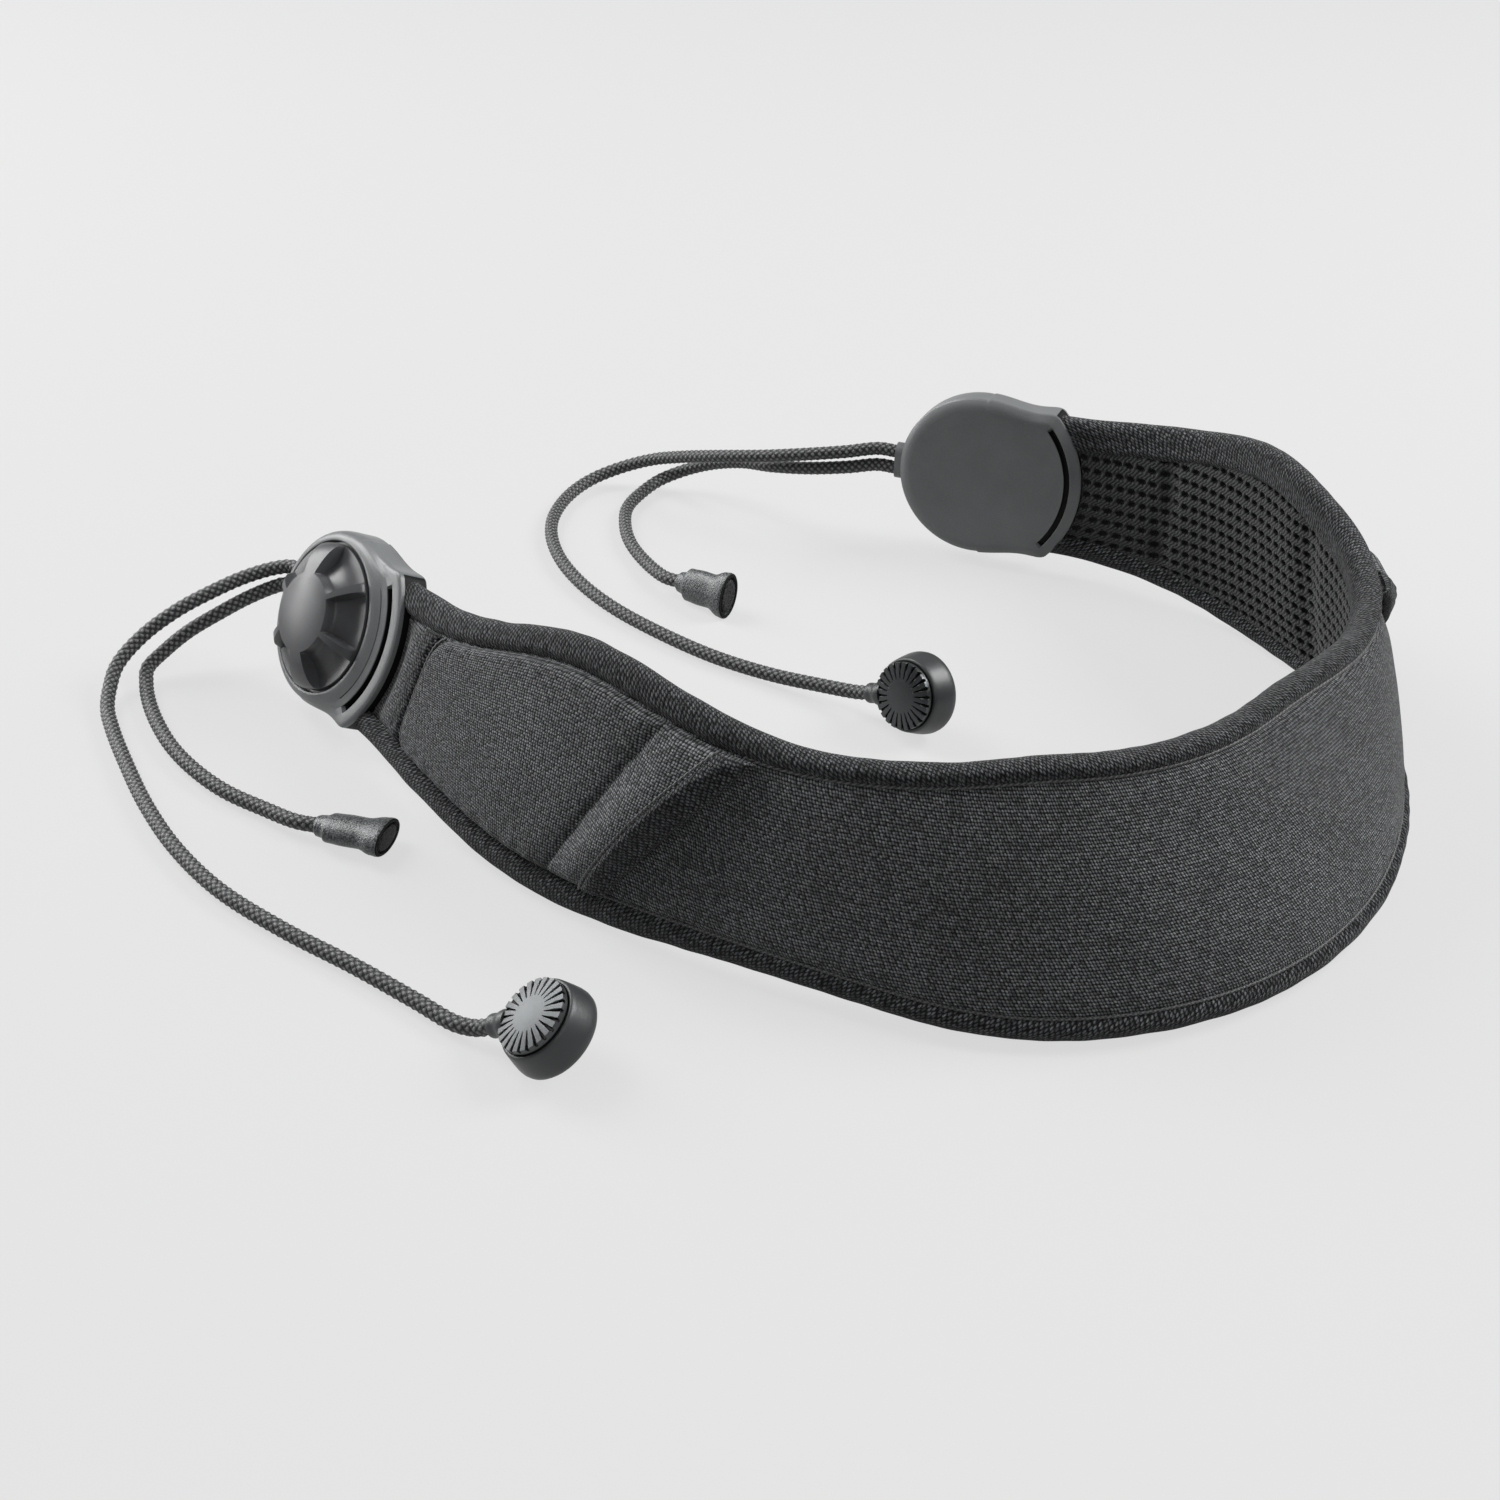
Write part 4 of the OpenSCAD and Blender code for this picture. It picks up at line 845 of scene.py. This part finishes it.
class STRAP_OT_pad(bpy.types.Operator):
    """Knit outer panel and the foam under it"""
    bl_idname = "strap.pad"
    bl_label = "Pad"

    def execute(self, context):
        def panel(x, y, z):
            s = lengthwise(x)
            v = (2 * y - 1) * (width_at(s) / 2 - EDGE_R)
            thick = PANEL_T - END_SINK * (1 - smooth(end_distance(s) / PAD_FADE))
            return strap_point(s, v, outer_rise(s, v) - thick * (1 - z))

        def foam(x, y, z):
            s = FOAM_START + (STRAP_L - 2 * FOAM_START) * x
            v = (2 * y - 1) * (width_at(s) / 2 - EDGE_R)
            top = outer_rise(s, v) - PANEL_T - FOAM_GAP
            low = min(top - FOAM_LEAST, lining_rise(s, v) + MESH_T + FOAM_GAP)
            return strap_point(s, v, top if z else low)

        def spread(x, y):
            s = STRAP_L * x
            return s * MM, (2 * y - 1) * (width_at(s) / 2 - EDGE_R) * MM

        face = slab(320, 48, panel, spread)
        made = piece("outer_panel", face, [fine_knit()], "strap", ["outer_shell"], sharp=70)
        # Open-cell foam: pale, dull and pitted with small cells
        cells = moulded("open_cell_foam", colours().foam, 0.95, 0.9, 0.4, speckle=0.25)
        core = slab(140, 16, foam, spread)
        made = piece("foam_pad", core, [cells], "strap", ["foam_core"], sharp=70)
        return {"FINISHED"}


class STRAP_OT_lining(bpy.types.Operator):
    """Spacer mesh on the wearer's side: rows of holes between twisted bars"""
    bl_idname = "strap.lining"
    bl_label = "Lining"

    def execute(self, context):
        bar, shear, hem = 0.24, 0.15, 2.6
        rim, wall, pit, least = 0.32, 0.15, -1.3, 5
        columns = round(STRAP_L * MM / sizes().mesh_along)
        rows = round((STRAP_W - 2 * EDGE_R) * MM / sizes().mesh_across)
        cuts = 2 * rows + 1
        bm = unit_grid(columns, cuts)
        lift(bm, bmesh.ops.duplicate(bm, geom=bm.faces[:]))
        centres = {face: face.calc_center_median() for face in bm.faces}
        net = [face for face, at in centres.items() if at.z < 0.5 and int(at.y * cuts) % 2]
        bmesh.ops.bridge_loops(bm, edges=[edge for edge in bm.edges if edge.is_boundary])

        def spread(x, y):
            return STRAP_L * x * MM, (2 * y - 1) * STRAP_W / 2 * MM

        def place(x, y, z):
            pair, half = divmod(round(y * cuts), 2)
            y = (pair + bar * half) / (rows + bar)
            s = lengthwise(x)
            wide, limit = STRAP_W / 2 - EDGE_R, width_at(s) / 2 - EDGE_R
            v = (2 * y - 1) * wide
            kept = limit - hem
            if abs(v) > kept:
                v = math.copysign(kept + hem * (abs(v) - kept) / (wide - kept), v)
            s += shear * v * smooth(end_distance(s) / 20)
            return strap_point(s, v, lining_rise(s, v) + MESH_T * z)

        put(bm, place, spread)
        bmesh.ops.recalc_face_normals(bm, faces=bm.faces)
        net = [face for face in net if face.calc_area() > least]
        bmesh.ops.inset_individual(bm, faces=net, thickness=rim, depth=0.0, use_even_offset=True)
        walls = bmesh.ops.inset_individual(bm, faces=net, thickness=wall, depth=pit, use_even_offset=True)
        # The holes' walls and floors take the second finish, which is painted shade
        for face in net + walls["faces"]:
            face.material_index = 1
        bars = spacer_mesh("spacer_mesh", colours().mesh)
        # Painted shade in the holes: the mesh colour at 0.15 on their walls and floors, which are the spacer's
        # inner layer
        pits = spacer_mesh("spacer_mesh_depth", shaded(colours().mesh, 0.15))
        made = piece("lining_mesh", bm, [bars, pits], "strap", ["mesh_lining"], sharp=180)
        rounder = made.modifiers.new("rounder", "SUBSURF")
        rounder.levels = 1
        rounder.render_levels = 1
        return {"FINISHED"}


class STRAP_OT_bindings(bpy.types.Operator):
    """Knit tape folded round the strap's two long edges"""
    bl_idname = "strap.bindings"
    bl_label = "Bindings"

    def execute(self, context):
        fold, stitches, seam_at = math.pi * EDGE_R, 560, 2.8

        def section(s, y, z, edge):
            """Across and above the mid plane: out along one face, round the edge and back along the other."""
            flat = binding_at(s) - EDGE_R
            whole = flat + fold + BINDING_INSIDE[edge] - EDGE_R
            t = whole * y
            near = min(t, whole - t)
            pucker = 0.1 * math.sin(s / 1.1) * hump(near - 1.5, 1.5)
            swell = 0.2 * noise.noise((s / 7, edge * 5, y * 3)) + pucker
            roll = 0.45 * hump(near - 2.4, 1.6) - 0.9 * hump(near, 1.0)
            r = EDGE_R - TAPE_T * (1 - z) + z * (swell + roll)
            h = width_at(s) / 2
            if t < flat:
                return h - EDGE_R - flat + t, r
            if t > flat + fold:
                return h - EDGE_R - (t - flat - fold), -r
            a = math.pi / 2 - (t - flat) / EDGE_R
            return h - EDGE_R + r * math.cos(a), r * math.sin(a)

        for name, edge in (("upper", 1), ("lower", -1)):
            def place(x, y, z):
                s = lengthwise(x)
                v, u = section(s, y, z, edge)
                return strap_point(s, edge * v, u)

            whole = binding_at(STRAP_L / 2) + fold + BINDING_INSIDE[edge] - 2 * EDGE_R
            bm = slab(400, 40, place, lambda x, y: (whole * y * MM, STRAP_L * x * MM))
            nodes = [f"{name}_binding"]
            made = piece(f"{name}_tape", bm, [coarse_knit()], "strap", nodes, sharp=70)
            first = POCKET_MOUTH + edge * MOUTH_SLANT - 2
            stops = [first + (STRAP_L - 2 * first) * i / stitches for i in range(stitches + 1)]
            path = [strap_point(s, edge * lip_at(s), seam_at) for s in stops]
            thread = tube(path, 10, twist)
            piece(f"{name}_outer_seam", thread, [sewing_thread()], "strap", sharp=180)
        return {"FINISHED"}


class STRAP_OT_pockets(bpy.types.Operator):
    """Stretch pockets over the pads, the tape round each mouth and the tape over the cross seam"""
    bl_idname = "strap.pockets"
    bl_label = "Pockets"

    def execute(self, context):
        for side in SIDES:
            self.pocket(side)
            self.mouth_tape(side)
            self.cross_tape(side)
        return {"FINISHED"}

    def pocket(self, side):
        span = POCKET_MOUTH - POCKET_START

        def start(f):
            return POCKET_START + 4 * abs(f) ** 5

        def place(x, y, z):
            f = 2 * y - 1
            d = start(f) + (POCKET_MOUTH - start(f)) * x
            edge = min(d - start(f), POCKET_HALF * (1 - abs(f)))
            rolled = math.sqrt(1 - (1 - min(1.0, edge / 2.2)) ** 2)
            fold = d - POCKET_CREASE - 0.5 * noise.noise((f * 5, 0.3, 4.4))
            crease = 0.9 * hump(fold, 1.0) + 0.7 * hump(fold, 4)
            strip = 0.9 * hump(fold - 8, 5) * (1 - f ** 6)
            top = (POCKET_T + 0.7 + strip) * rolled - crease
            low = 0.9 * smooth((d - POCKET_MOUTH + 4) / 2)
            return pocket_point(side, d, f, pocket_lift(side, d, f) + (top if z else low))

        def spread(x, y):
            return (POCKET_START + span * x) * MM, (2 * y - 1) * POCKET_HALF * MM

        made = piece(f"{side}_pocket", slab(120, 56, place, spread), [fine_knit()], "strap",
                     [f"{side}_pocket_panel"], sharp=70)

    def mouth_tape(self, side):
        back, bend, low, under = MOUTH_TAPE, 1.5, POCKET_T + 1.6, 2.2
        arc = bend * math.pi
        whole = back + arc + under

        def place(x, y, z):
            f = 2 * y - 1
            t = whole * x
            ridge = 0.25 * noise.noise((f * 9, x * 4, 2.2)) - 0.9 * hump(t, 1.0) + 0.3 * hump(t - 3, 1.6)
            r = bend - 0.8 * (1 - z) + z * ridge
            if t < back:
                d, u = POCKET_MOUTH - back + t, low - bend + r
            elif t < back + arc:
                a = (t - back) / bend
                d, u = POCKET_MOUTH + r * math.sin(a), low - bend + r * math.cos(a)
            else:
                d, u = POCKET_MOUTH - (t - back - arc), low - bend - r
            return pocket_point(side, d, f, pocket_lift(side, min(d, POCKET_MOUTH), f) + u)

        bm = slab(40, 60, place, lambda x, y: (whole * x * MM, 60 * y * MM))
        nodes = [f"{side}_pocket_binding"]
        piece(f"{side}_mouth_tape", bm, [coarse_knit()], "strap", nodes, sharp=70)
        self.seam(f"{side}_mouth_seam", lambda f: pocket_point(
            side, POCKET_MOUTH - back - 0.5, f, pocket_lift(side, POCKET_MOUTH - back, f) + low - 1.0))

    def cross_tape(self, side):
        whole = CROSS_TAPE_W + 0.9

        def place(x, y, z):
            f = 2 * y - 1
            t = whole * x
            edge = min(t, whole - t)
            top = 1.2 + 0.25 * noise.noise((f * 11, x * 3, 7.7)) - 0.9 * hump(edge, 0.9)
            return pad_point(side, SEAM_AT - 0.7 + t, f, top if z else -0.3)

        bm = slab(16, 48, place, lambda x, y: (CROSS_TAPE_W * x * MM, 40 * y * MM))
        piece(f"{side}_cross_tape", bm, [coarse_knit()], "strap", [f"{side}_seam_tape"], sharp=70)
        self.seam(f"{side}_cross_seam", lambda f: pad_point(
            side, SEAM_AT + CROSS_TAPE_W + 0.2 + 3 * abs(f) ** 5, f, 0.4))

    def seam(self, name, at):
        """A raised overlock seam across the pad: a thin twist of thread."""
        path = smooth_route([at(f / 12) for f in range(-12, 13)], 0.3)
        piece(name, tube(path, 12, twist), [sewing_thread()], "strap", sharp=180)


def outline_radius(angle):
    """Radius of the housing's outline: a round body whose sides draw in, then spread to the flange."""
    off = abs(angle % (2 * math.pi) - math.pi)
    spread = math.sin(off) - FLANGE_SPREAD * math.cos(off)
    if off > math.radians(85):
        return HOUSING_R
    side = FLANGE_MID / spread if spread > 0.05 else 400
    flange = soft_min(REACH, side, 1.6)
    return -soft_min(-HOUSING_R, -flange, 5)


def shell(levels, inside):
    """A half of the housing, turned from levels: radius and height on the round part, the same on the flange,
    and the slot's depth there. It is then spread to the outline; the faces of the slot and the grooves and the
    flange's wall at the strap mouth are black, shade painted into them."""
    bm = turned([row[:2] for row in levels] + inside, SHELL_STEPS, closed=inside[-1][0] > 0)
    known = {}
    for r, z, flange_r, flange_z, cut in levels:
        known[(round(r, 3), round(z, 3))] = (flange_r, flange_z, cut)
    painted_shade_verts = set()
    for vert in bm.verts:
        x, y, z = vert.co
        r = math.hypot(x, y)
        if r < 0.01:
            continue
        found = known.get((round(r, 3), round(z, 3)))
        if not found:
            continue
        angle = math.atan2(y, x)
        share = (outline_radius(angle) - HOUSING_R) / (REACH - HOUSING_R)
        off = math.degrees(abs(angle % (2 * math.pi) - math.pi))
        cut = found[2] * smooth((GROOVE_SWEEP + 0.8 - off) / 1.6)
        flange_r, flange_z = found[0], found[1]
        new_r = r + (flange_r - r) * share
        new_z = z + (flange_z - z) * share + cut
        # Painted shade: the slot's and grooves' faces and the flange's wall at the strap mouth take the black
        # second finish
        if abs(cut) > 0.05 or (r > HOUSING_R - 0.01 and share > 0.9):
            painted_shade_verts.add(vert)
        vert.co = (x / r * new_r, y / r * new_r, new_z)
    for face in bm.faces:
        face.material_index = int(painted_shade_verts.issuperset(face.verts))
    bmesh.ops.recalc_face_normals(bm, faces=bm.faces)
    return bm


class STRAP_OT_housings(bpy.types.Operator):
    """Front and back shells of the adjusters and the glands that the cords leave by"""
    bl_idname = "strap.housings"
    bl_label = "Housings"

    def execute(self, context):
        front = (
            (5.3, 4.2, 5.3, 4.2, 0), (12, 4.2, 12, 4.2, 0), (20.5, 4.2, 20.5, 4.2, 0),
            (20.6, 4.3, 20.6, 4.3, 0), (20.65, 5.5, 20.65, 5.5, 0), (20.8, 5.75, 20.8, 5.75, 0),
            (21.1, 5.85, 21.2, 5.85, 0),
            (21.5, 5.82, 22, 5.65, 0), (21.9, 5.7, 23.0, 5.2, 0), (22.2, 5.55, 23.8, 4.85, 0),
            (22.45, 5.4, 24.2, 4.68, 0), (22.5, 5.35, 24.25, 4.66, -0.3), (22.6, 5.28, 24.45, 4.6, -0.3),
            (22.65, 5.25, 24.5, 4.58, 0), (22.9, 5.0, 25.4, 4.36, 0), (23.1, 4.75, 26.2, 4.25, 0),
            (23.25, 4.5, 26.4, 4.2, 0), (23.3, 4.42, 26.5, 4.18, -0.2), (23.33, 4.36, 26.54, 4.18, -1.9),
            (23.5, 4.0, 28.36, 4.1, -1.9), (23.53, 3.94, 28.4, 4.1, -0.2), (23.57, 3.86, 28.5, 4.1, 0),
            (23.65, 3.6, 29.6, 4.15, 0), (23.75, 3.2, 30.9, 4.15, 0), (23.85, 2.7, 31.5, 4.05, 0),
            (23.93, 2.2, 31.85, 3.8, 0), (23.98, 1.6, 31.98, 3.4, 0), (24, 1, 32, 2.6, 0),
            (24, -2, 32, -2, 0), (24, -4.2, 32, -4.2, 0), (23.85, -4.34, 31.85, -4.34, 0))
        front_inside = [(17, -4.34), (17, 3.2), (5.3, 3.2)]
        back = (
            (0, -6, 0, -6, 0), (8, -6, 9, -6, 0), (16, -6, 18, -6, 0), (19, -6, 23, -6, 0),
            (20, -5.99, 25.6, -6, 0), (20.6, -5.97, 27, -6, 0),
            (20.8, -5.96, 27.1, -5.98, 0.1), (20.85, -5.95, 27.14, -5.98, 1.5),
            (21.3, -5.9, 28.76, -5.95, 1.5), (21.35, -5.89, 28.8, -5.93, 0.1), (21.5, -5.86, 28.9, -5.9, 0),
            (22.0, -5.74, 29.6, -5.62, 0), (22.6, -5.5, 30.4, -5.26, 0), (23.1, -5.2, 31.1, -4.95, 0),
            (23.6, -4.85, 31.6, -4.75, 0), (23.9, -4.6, 31.9, -4.58, 0), (24, -4.42, 32, -4.42, 0),
            (23.9, -4.4, 31.9, -4.4, 0))
        back_inside = [(4.6, -4.4), (4.6, 0.7), (1.55, 0.7), (1.55, -4.9), (0, -4.9)]
        plastic = housing_plastic()
        # The second finish paints shade black into the slot, the grooves and the strap mouth
        finishes = [plastic, black_plastic()]
        front_half = shell(front, front_inside)
        both_ends("front_half", front_half, finishes, "strap", "front_shell", adjuster_frame, 35)
        back_half = shell(back, back_inside)
        both_ends("back_half", back_half, finishes, "strap", "back_cover", adjuster_frame, 35)
        for side in SIDES:
            refinish(f"{side}_cord_guide", plastic)
        return {"FINISHED"}


class STRAP_OT_knobs(bpy.types.Operator):
    """Domed knobs with two groups of three scoops round a bare cap"""
    bl_idname = "strap.knobs"
    bl_label = "Knobs"

    def execute(self, context):
        knob_r, knob_h, rim_h, cap_r, turn, step = 20, 8.4, 0.9, 10.8, 18, 54
        half = math.degrees(sizes().scoop_width) / 2
        wall, inner_wall, floor_rise, hollow = 0.3, 0.6, 0.55, 2.4
        # Polished-tool nylon: dark grey, with a tighter glint than the housing's
        nylon = moulded("knob_nylon", colours().knob, 0.34, 0.3, 0.01, specular=0.45, speckle=0.06)

        def dome(r):
            return rim_h + (knob_h - rim_h) * math.sqrt(max(0.0, 1 - (r / knob_r) ** 2))

        def height(r, angle):
            a = (math.degrees(angle) - turn + 90) % 180 - 90
            nearest = min((-step, 0, step), key=lambda at: abs(a - at))
            inside = (half - abs(a - nearest)) * math.radians(1) * r
            t = max(0.0, min(1.0, (knob_r - 0.1 - r) / (knob_r - 0.7 - cap_r)))
            floor = rim_h + (dome(cap_r) - rim_h) * floor_rise * t ** hollow
            share = smooth(inside / wall + 0.5) * smooth((r - cap_r) / inner_wall)
            return dome(r) + (min(floor, dome(r)) - dome(r)) * share

        rings = [0, 1.5, 3, 4.5, 6, 7.5, 8.8, 9.8, 10.4, 10.8, 10.95, 11.1, 11.25, 11.4, 11.7]
        rings += [12.2 + 0.6 * i for i in range(12)] + [19.2, 19.5, 19.75, 19.9]
        hub, hub_top = CAM_Z - KNOB_Z, CAM_Z + 1.8 - KNOB_Z
        profile = [(r, 1) for r in rings] + [(20, 0.6), (20, 0.05), (19.9, 0), (5, 0), (5, hub_top)]
        profile += [(3, hub_top), (3, hub), (1.55, hub), (1.55, 4.1), (0, 4.1)]
        bm = turned(profile, 400)
        for vert in bm.verts:
            x, y, z = vert.co
            if z == 1:
                z = height(math.hypot(x, y), math.atan2(y, x))
            vert.co = (x, y, z + KNOB_Z)
        bmesh.ops.recalc_face_normals(bm, faces=bm.faces)
        both_ends("turn_knob", bm, [nylon], "{}_knob", "knob", adjuster_frame, 35)
        return {"FINISHED"}


class STRAP_OT_connectors(bpy.types.Operator):
    """Twist connectors: grooved dial, rubber collar, and the stem that takes the cord"""
    bl_idname = "strap.connectors"
    bl_label = "Connectors"

    def execute(self, context):
        grooves = sizes().dial_grooves
        dial_r, dial_z, dial_t = 9.1, 2.0, 2.2
        groove_in, groove_deep, groove_fade, painted_shade_from = 4.4, 0.7, 0.8, 0.2
        # Metallised plastic: a grey that lights up in a satin glint when it faces a lamp
        satin = moulded("satin_dial", colours().dial, 0.36, 0.25, 0.008, metallic=0.75)
        rubber = soft_rubber()
        rings = [0, 2, 3.6, 4.4, 4.7, 5, 5.5, 6, 6.6, 7.2, 7.8, 8.3, 8.7, 8.95, 9.05]
        profile = [(r, dial_z + dial_t - 0.6 * (r / dial_r) ** 2) for r in rings]
        profile += [(9.1, 3.4), (9.1, 2.1), (9.0, 2.0), (2.45, 2.0), (2.45, 3.2), (0, 3.2)]
        collar = [
            (7.7, -6.5), (9.8, -6.5), (10.6, -6.25), (11.05, -5.7), (11.2, -4.9), (11.15, -3.9), (10.8, -2),
            (10.3, 0.2), (10.05, 1.2), (9.85, 1.55), (9.5, 1.7), (9.2, 1.6), (9.1, 1.2), (9.05, 0), (7.7, 0)]
        neck = [
            (1.4, 8.2), (3.3, 8.2), (3.4, 9.4), (3.2, 10.2), (2.9, 10.8), (2.75, 11.4), (2.8, 12.2),
            (2.8, 13.2), (2.7, 13.5), (2.3, 13.6), (1.4, 13.6)]
        washer = [(2.7, 0.1), (8.8, 0.1), (8.9, 0.25), (8.9, 1.5), (8.8, 1.7), (2.7, 1.7)]
        dial = turned(profile, 20 * grooves)
        painted_shade_verts = set()
        for vert in dial.verts:
            x, y, z = vert.co
            r = math.hypot(x, y)
            if r > 4.5 and z > 2.5:
                share = (math.atan2(y, x) / (2 * math.pi) * grooves + 0.5) % 1 - 0.5
                wide = 0.04 + 0.34 * (r - groove_in) / (dial_r - groove_in)
                off = abs(share) * 2 * math.pi * r / grooves
                cut = groove_deep * smooth((wide - off) / 0.14 + 0.5) * smooth((r - groove_in) / groove_fade)
                vert.co.z = z - cut
                if cut > painted_shade_from:
                    painted_shade_verts.add(vert)
        # Painted shade: faces deep in the grooves take the black second finish
        for face in dial.faces:
            face.material_index = int(painted_shade_verts.issuperset(face.verts))
        bmesh.ops.recalc_face_normals(dial, faces=dial.faces)
        ring = turned(collar, 128, closed=True)
        stem = turned(neck, 40, closed=True)
        swing = Matrix.Translation((0, 0, STEM_MID)) @ Matrix.Rotation(math.pi / 2, 4, "Y")
        bmesh.ops.transform(stem, matrix=swing, verts=stem.verts)
        eye = turned(washer, 96, closed=True)
        for face in eye.faces:
            face.material_index = 1
        spare = bpy.data.meshes.new("eye")
        eye.to_mesh(spare)
        eye.free()
        stem.from_mesh(spare)
        bpy.data.meshes.remove(spare)
        black, place = black_plastic(), connector_frame
        both_ends("dial_cap", dial, [satin, black], "{}_dial", "connector_dial", place, 30)
        both_ends("collar_ring", ring, [rubber], "strap", "connector_collar", place, 50)
        both_ends("stem_neck", stem, [rubber, black], "strap", "connector_stem", place, 50)
        return {"FINISHED"}


class STRAP_OT_stoppers(bpy.types.Operator):
    """Flared stoppers on the short cords, with a plug in the open end; the end's rim and plug are painted dark
    as shade
    """
    bl_idname = "strap.stoppers"
    bl_label = "Stoppers"

    def execute(self, context):
        # Grained rubber: specks, drawn coarse to show, on a glossy sleeve; the end's rim, of the sleeve's
        # rubber, is painted black and the plug darker than its own grey, shade painted on the end face
        sleeve, black = shaded(colours().rubber, 1.9), colours().black
        grained = moulded("grained_rubber", sleeve, 0.38, 0.5, 0.14, specular=0.6, speckle=0.9)
        rim_shade = moulded("grained_black", shaded(black, 0.8), 0.6, 0.4, 0.08, specular=0.12, speckle=0.5)
        plug = moulded("grained_plug", shaded(black, 2.6), 0.6, 0.5, 0.14, specular=0.2, speckle=0.9)
        length = 19.5
        widths = (
            (0, 5.2), (0.03, 6.2), (0.12, 6.8), (0.2, 9.8), (0.45, 10.4), (0.66, 10.2), (0.88, 13.4),
            (0.96, 13.8), (1, 13.4))
        heights = (
            (0, 4.9), (0.03, 5.2), (0.12, 5.5), (0.2, 6.3), (0.45, 6.6), (0.66, 6.6), (0.88, 7.4),
            (0.96, 7.6), (1, 7.3))
        stations = [0, 0.01, 0.025, 0.04, 0.07, 0.1, 0.12, 0.14, 0.16, 0.18, 0.2]
        stations += [0.25 + 0.05 * i for i in range(12)] + [0.83, 0.86, 0.89, 0.92, 0.95, 0.975, 0.99]
        profile = [(0, 0)] + [(1, t) for t in stations]
        profile += [(0.97, 1), (0.85, 1), (0.82, 0.99), (0.81, 0.95), (0.81, 0.93), (0, 0.93)]

        def oval(x, y, z):
            return Vector((z * length, x * eased(widths, z) / 2, y * eased(heights, z) / 2))

        cone = turned(profile, 64)
        for face in cone.faces:
            face.material_index = int(face.calc_center_median().z > 0.985)
        end = turned([(0, 0.935), (0.72, 0.935), (0.72, 0.985), (0.68, 1.0), (0.5, 1.003), (0, 1.003)], 48)
        for bm in (cone, end):
            put(bm, oval)
            bmesh.ops.recalc_face_normals(bm, faces=bm.faces)
        finishes, place = [grained, rim_shade], stopper_frame
        both_ends("stopper_cone", cone, finishes, "strap", "stopper_sleeve", place, 50)
        both_ends("end_plug", end, [plug], "strap", "stopper_plug", place, 50)
        return {"FINISHED"}


class STRAP_OT_hardware(bpy.types.Operator):
    """Webbing tabs, and the finish of the metal and plastic parts inside"""
    bl_idname = "strap.hardware"
    bl_label = "Hardware"

    def execute(self, context):
        # Turned steel: bright, with a fine even brushing; nylon webbing: flat black ribs
        steel = moulded("turned_steel", colours().steel, 0.3, 0.4, 0.004, metallic=1.0)
        webbing = knit_cloth("nylon_webbing", colours().black, 1.2, 1.6, 0.0, 0.25, 0.1)
        groups = (
            (steel, ("knob_axle", "cam", "tab_rod", "connector_pin")),
            (black_plastic(), ("clamp_shoe", "bayonet_socket")), (soft_rubber(), ("friction_ring",)))
        for material, parts in groups:
            for part in parts:
                for side in SIDES:
                    refinish(f"{side}_{part}", material)
        end, hem, half, thick = -39.3, -21.4, 12.5, 1.1

        def tab(x, y, z):
            u = end + (hem - end) * x
            swell = 0.8 * hump(u - hem, 2.2)
            return Vector((u, (2 * y - 1) * half, STRAP_PLANE + (2 * z - 1) * (thick + swell)))

        bm = slab(40, 40, tab, lambda x, y: (18 * x * MM, 25 * y * MM))
        both_ends("web_tab", bm, [webbing], "strap", "end_tab", adjuster_frame, 60)
        return {"FINISHED"}


class STRAP_OT_declare(bpy.types.Operator):
    """Works out each free cord's path and length, and keeps neither"""
    bl_idname = "strap.declare"
    bl_label = "Declare cords"

    def execute(self, context):
        for side in SIDES:
            ends = {
                "long": (
                    "connector", ("dial_cap", "collar_ring", "stem_neck", "bayonet_socket", "connector_pin")),
                "short": ("fitting", ("stopper_cone", "end_plug"))}
            for kind, (far_end, parts) in ends.items():
                path = [p * MM for p in smooth_route(route(side, kind), 1.0)]
                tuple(path[0])
                round(route_length(path), 3)
        return {"FINISHED"}


STEPS = (
    STRAP_OT_stage, STRAP_OT_cords, STRAP_OT_pad, STRAP_OT_lining, STRAP_OT_bindings, STRAP_OT_pockets,
    STRAP_OT_housings, STRAP_OT_knobs, STRAP_OT_connectors, STRAP_OT_stoppers, STRAP_OT_hardware,
    STRAP_OT_declare)


class STRAP_PT_panel(bpy.types.Panel):
    """Sizes, colours and steps of the strap"""
    bl_idname = "STRAP_PT_panel"
    bl_label = "Neck Strap"
    bl_space_type = "VIEW_3D"
    bl_region_type = "UI"
    bl_category = "Neck Strap"

    def draw(self, context):
        for group in (context.scene.strap_sizes, context.scene.strap_colours):
            box = self.layout.box()
            for name in group.bl_rna.properties.keys():
                if name not in ("rna_type", "name"):
                    box.prop(group, name)
        for step in STEPS:
            self.layout.operator(step.bl_idname)


CLASSES = (StrapColours, StrapSizes, *STEPS, STRAP_PT_panel)


def register():
    for cls in CLASSES:
        bpy.utils.register_class(cls)
    bpy.types.Scene.strap_colours = PointerProperty(type=StrapColours)
    bpy.types.Scene.strap_sizes = PointerProperty(type=StrapSizes)


def unregister():
    del bpy.types.Scene.strap_sizes
    del bpy.types.Scene.strap_colours
    for cls in reversed(CLASSES):
        bpy.utils.unregister_class(cls)


def main():
    register()
    for step in STEPS:
        group, name = step.bl_idname.split(".")
        getattr(getattr(bpy.ops, group), name)()


if __name__ == "__main__":
    main()
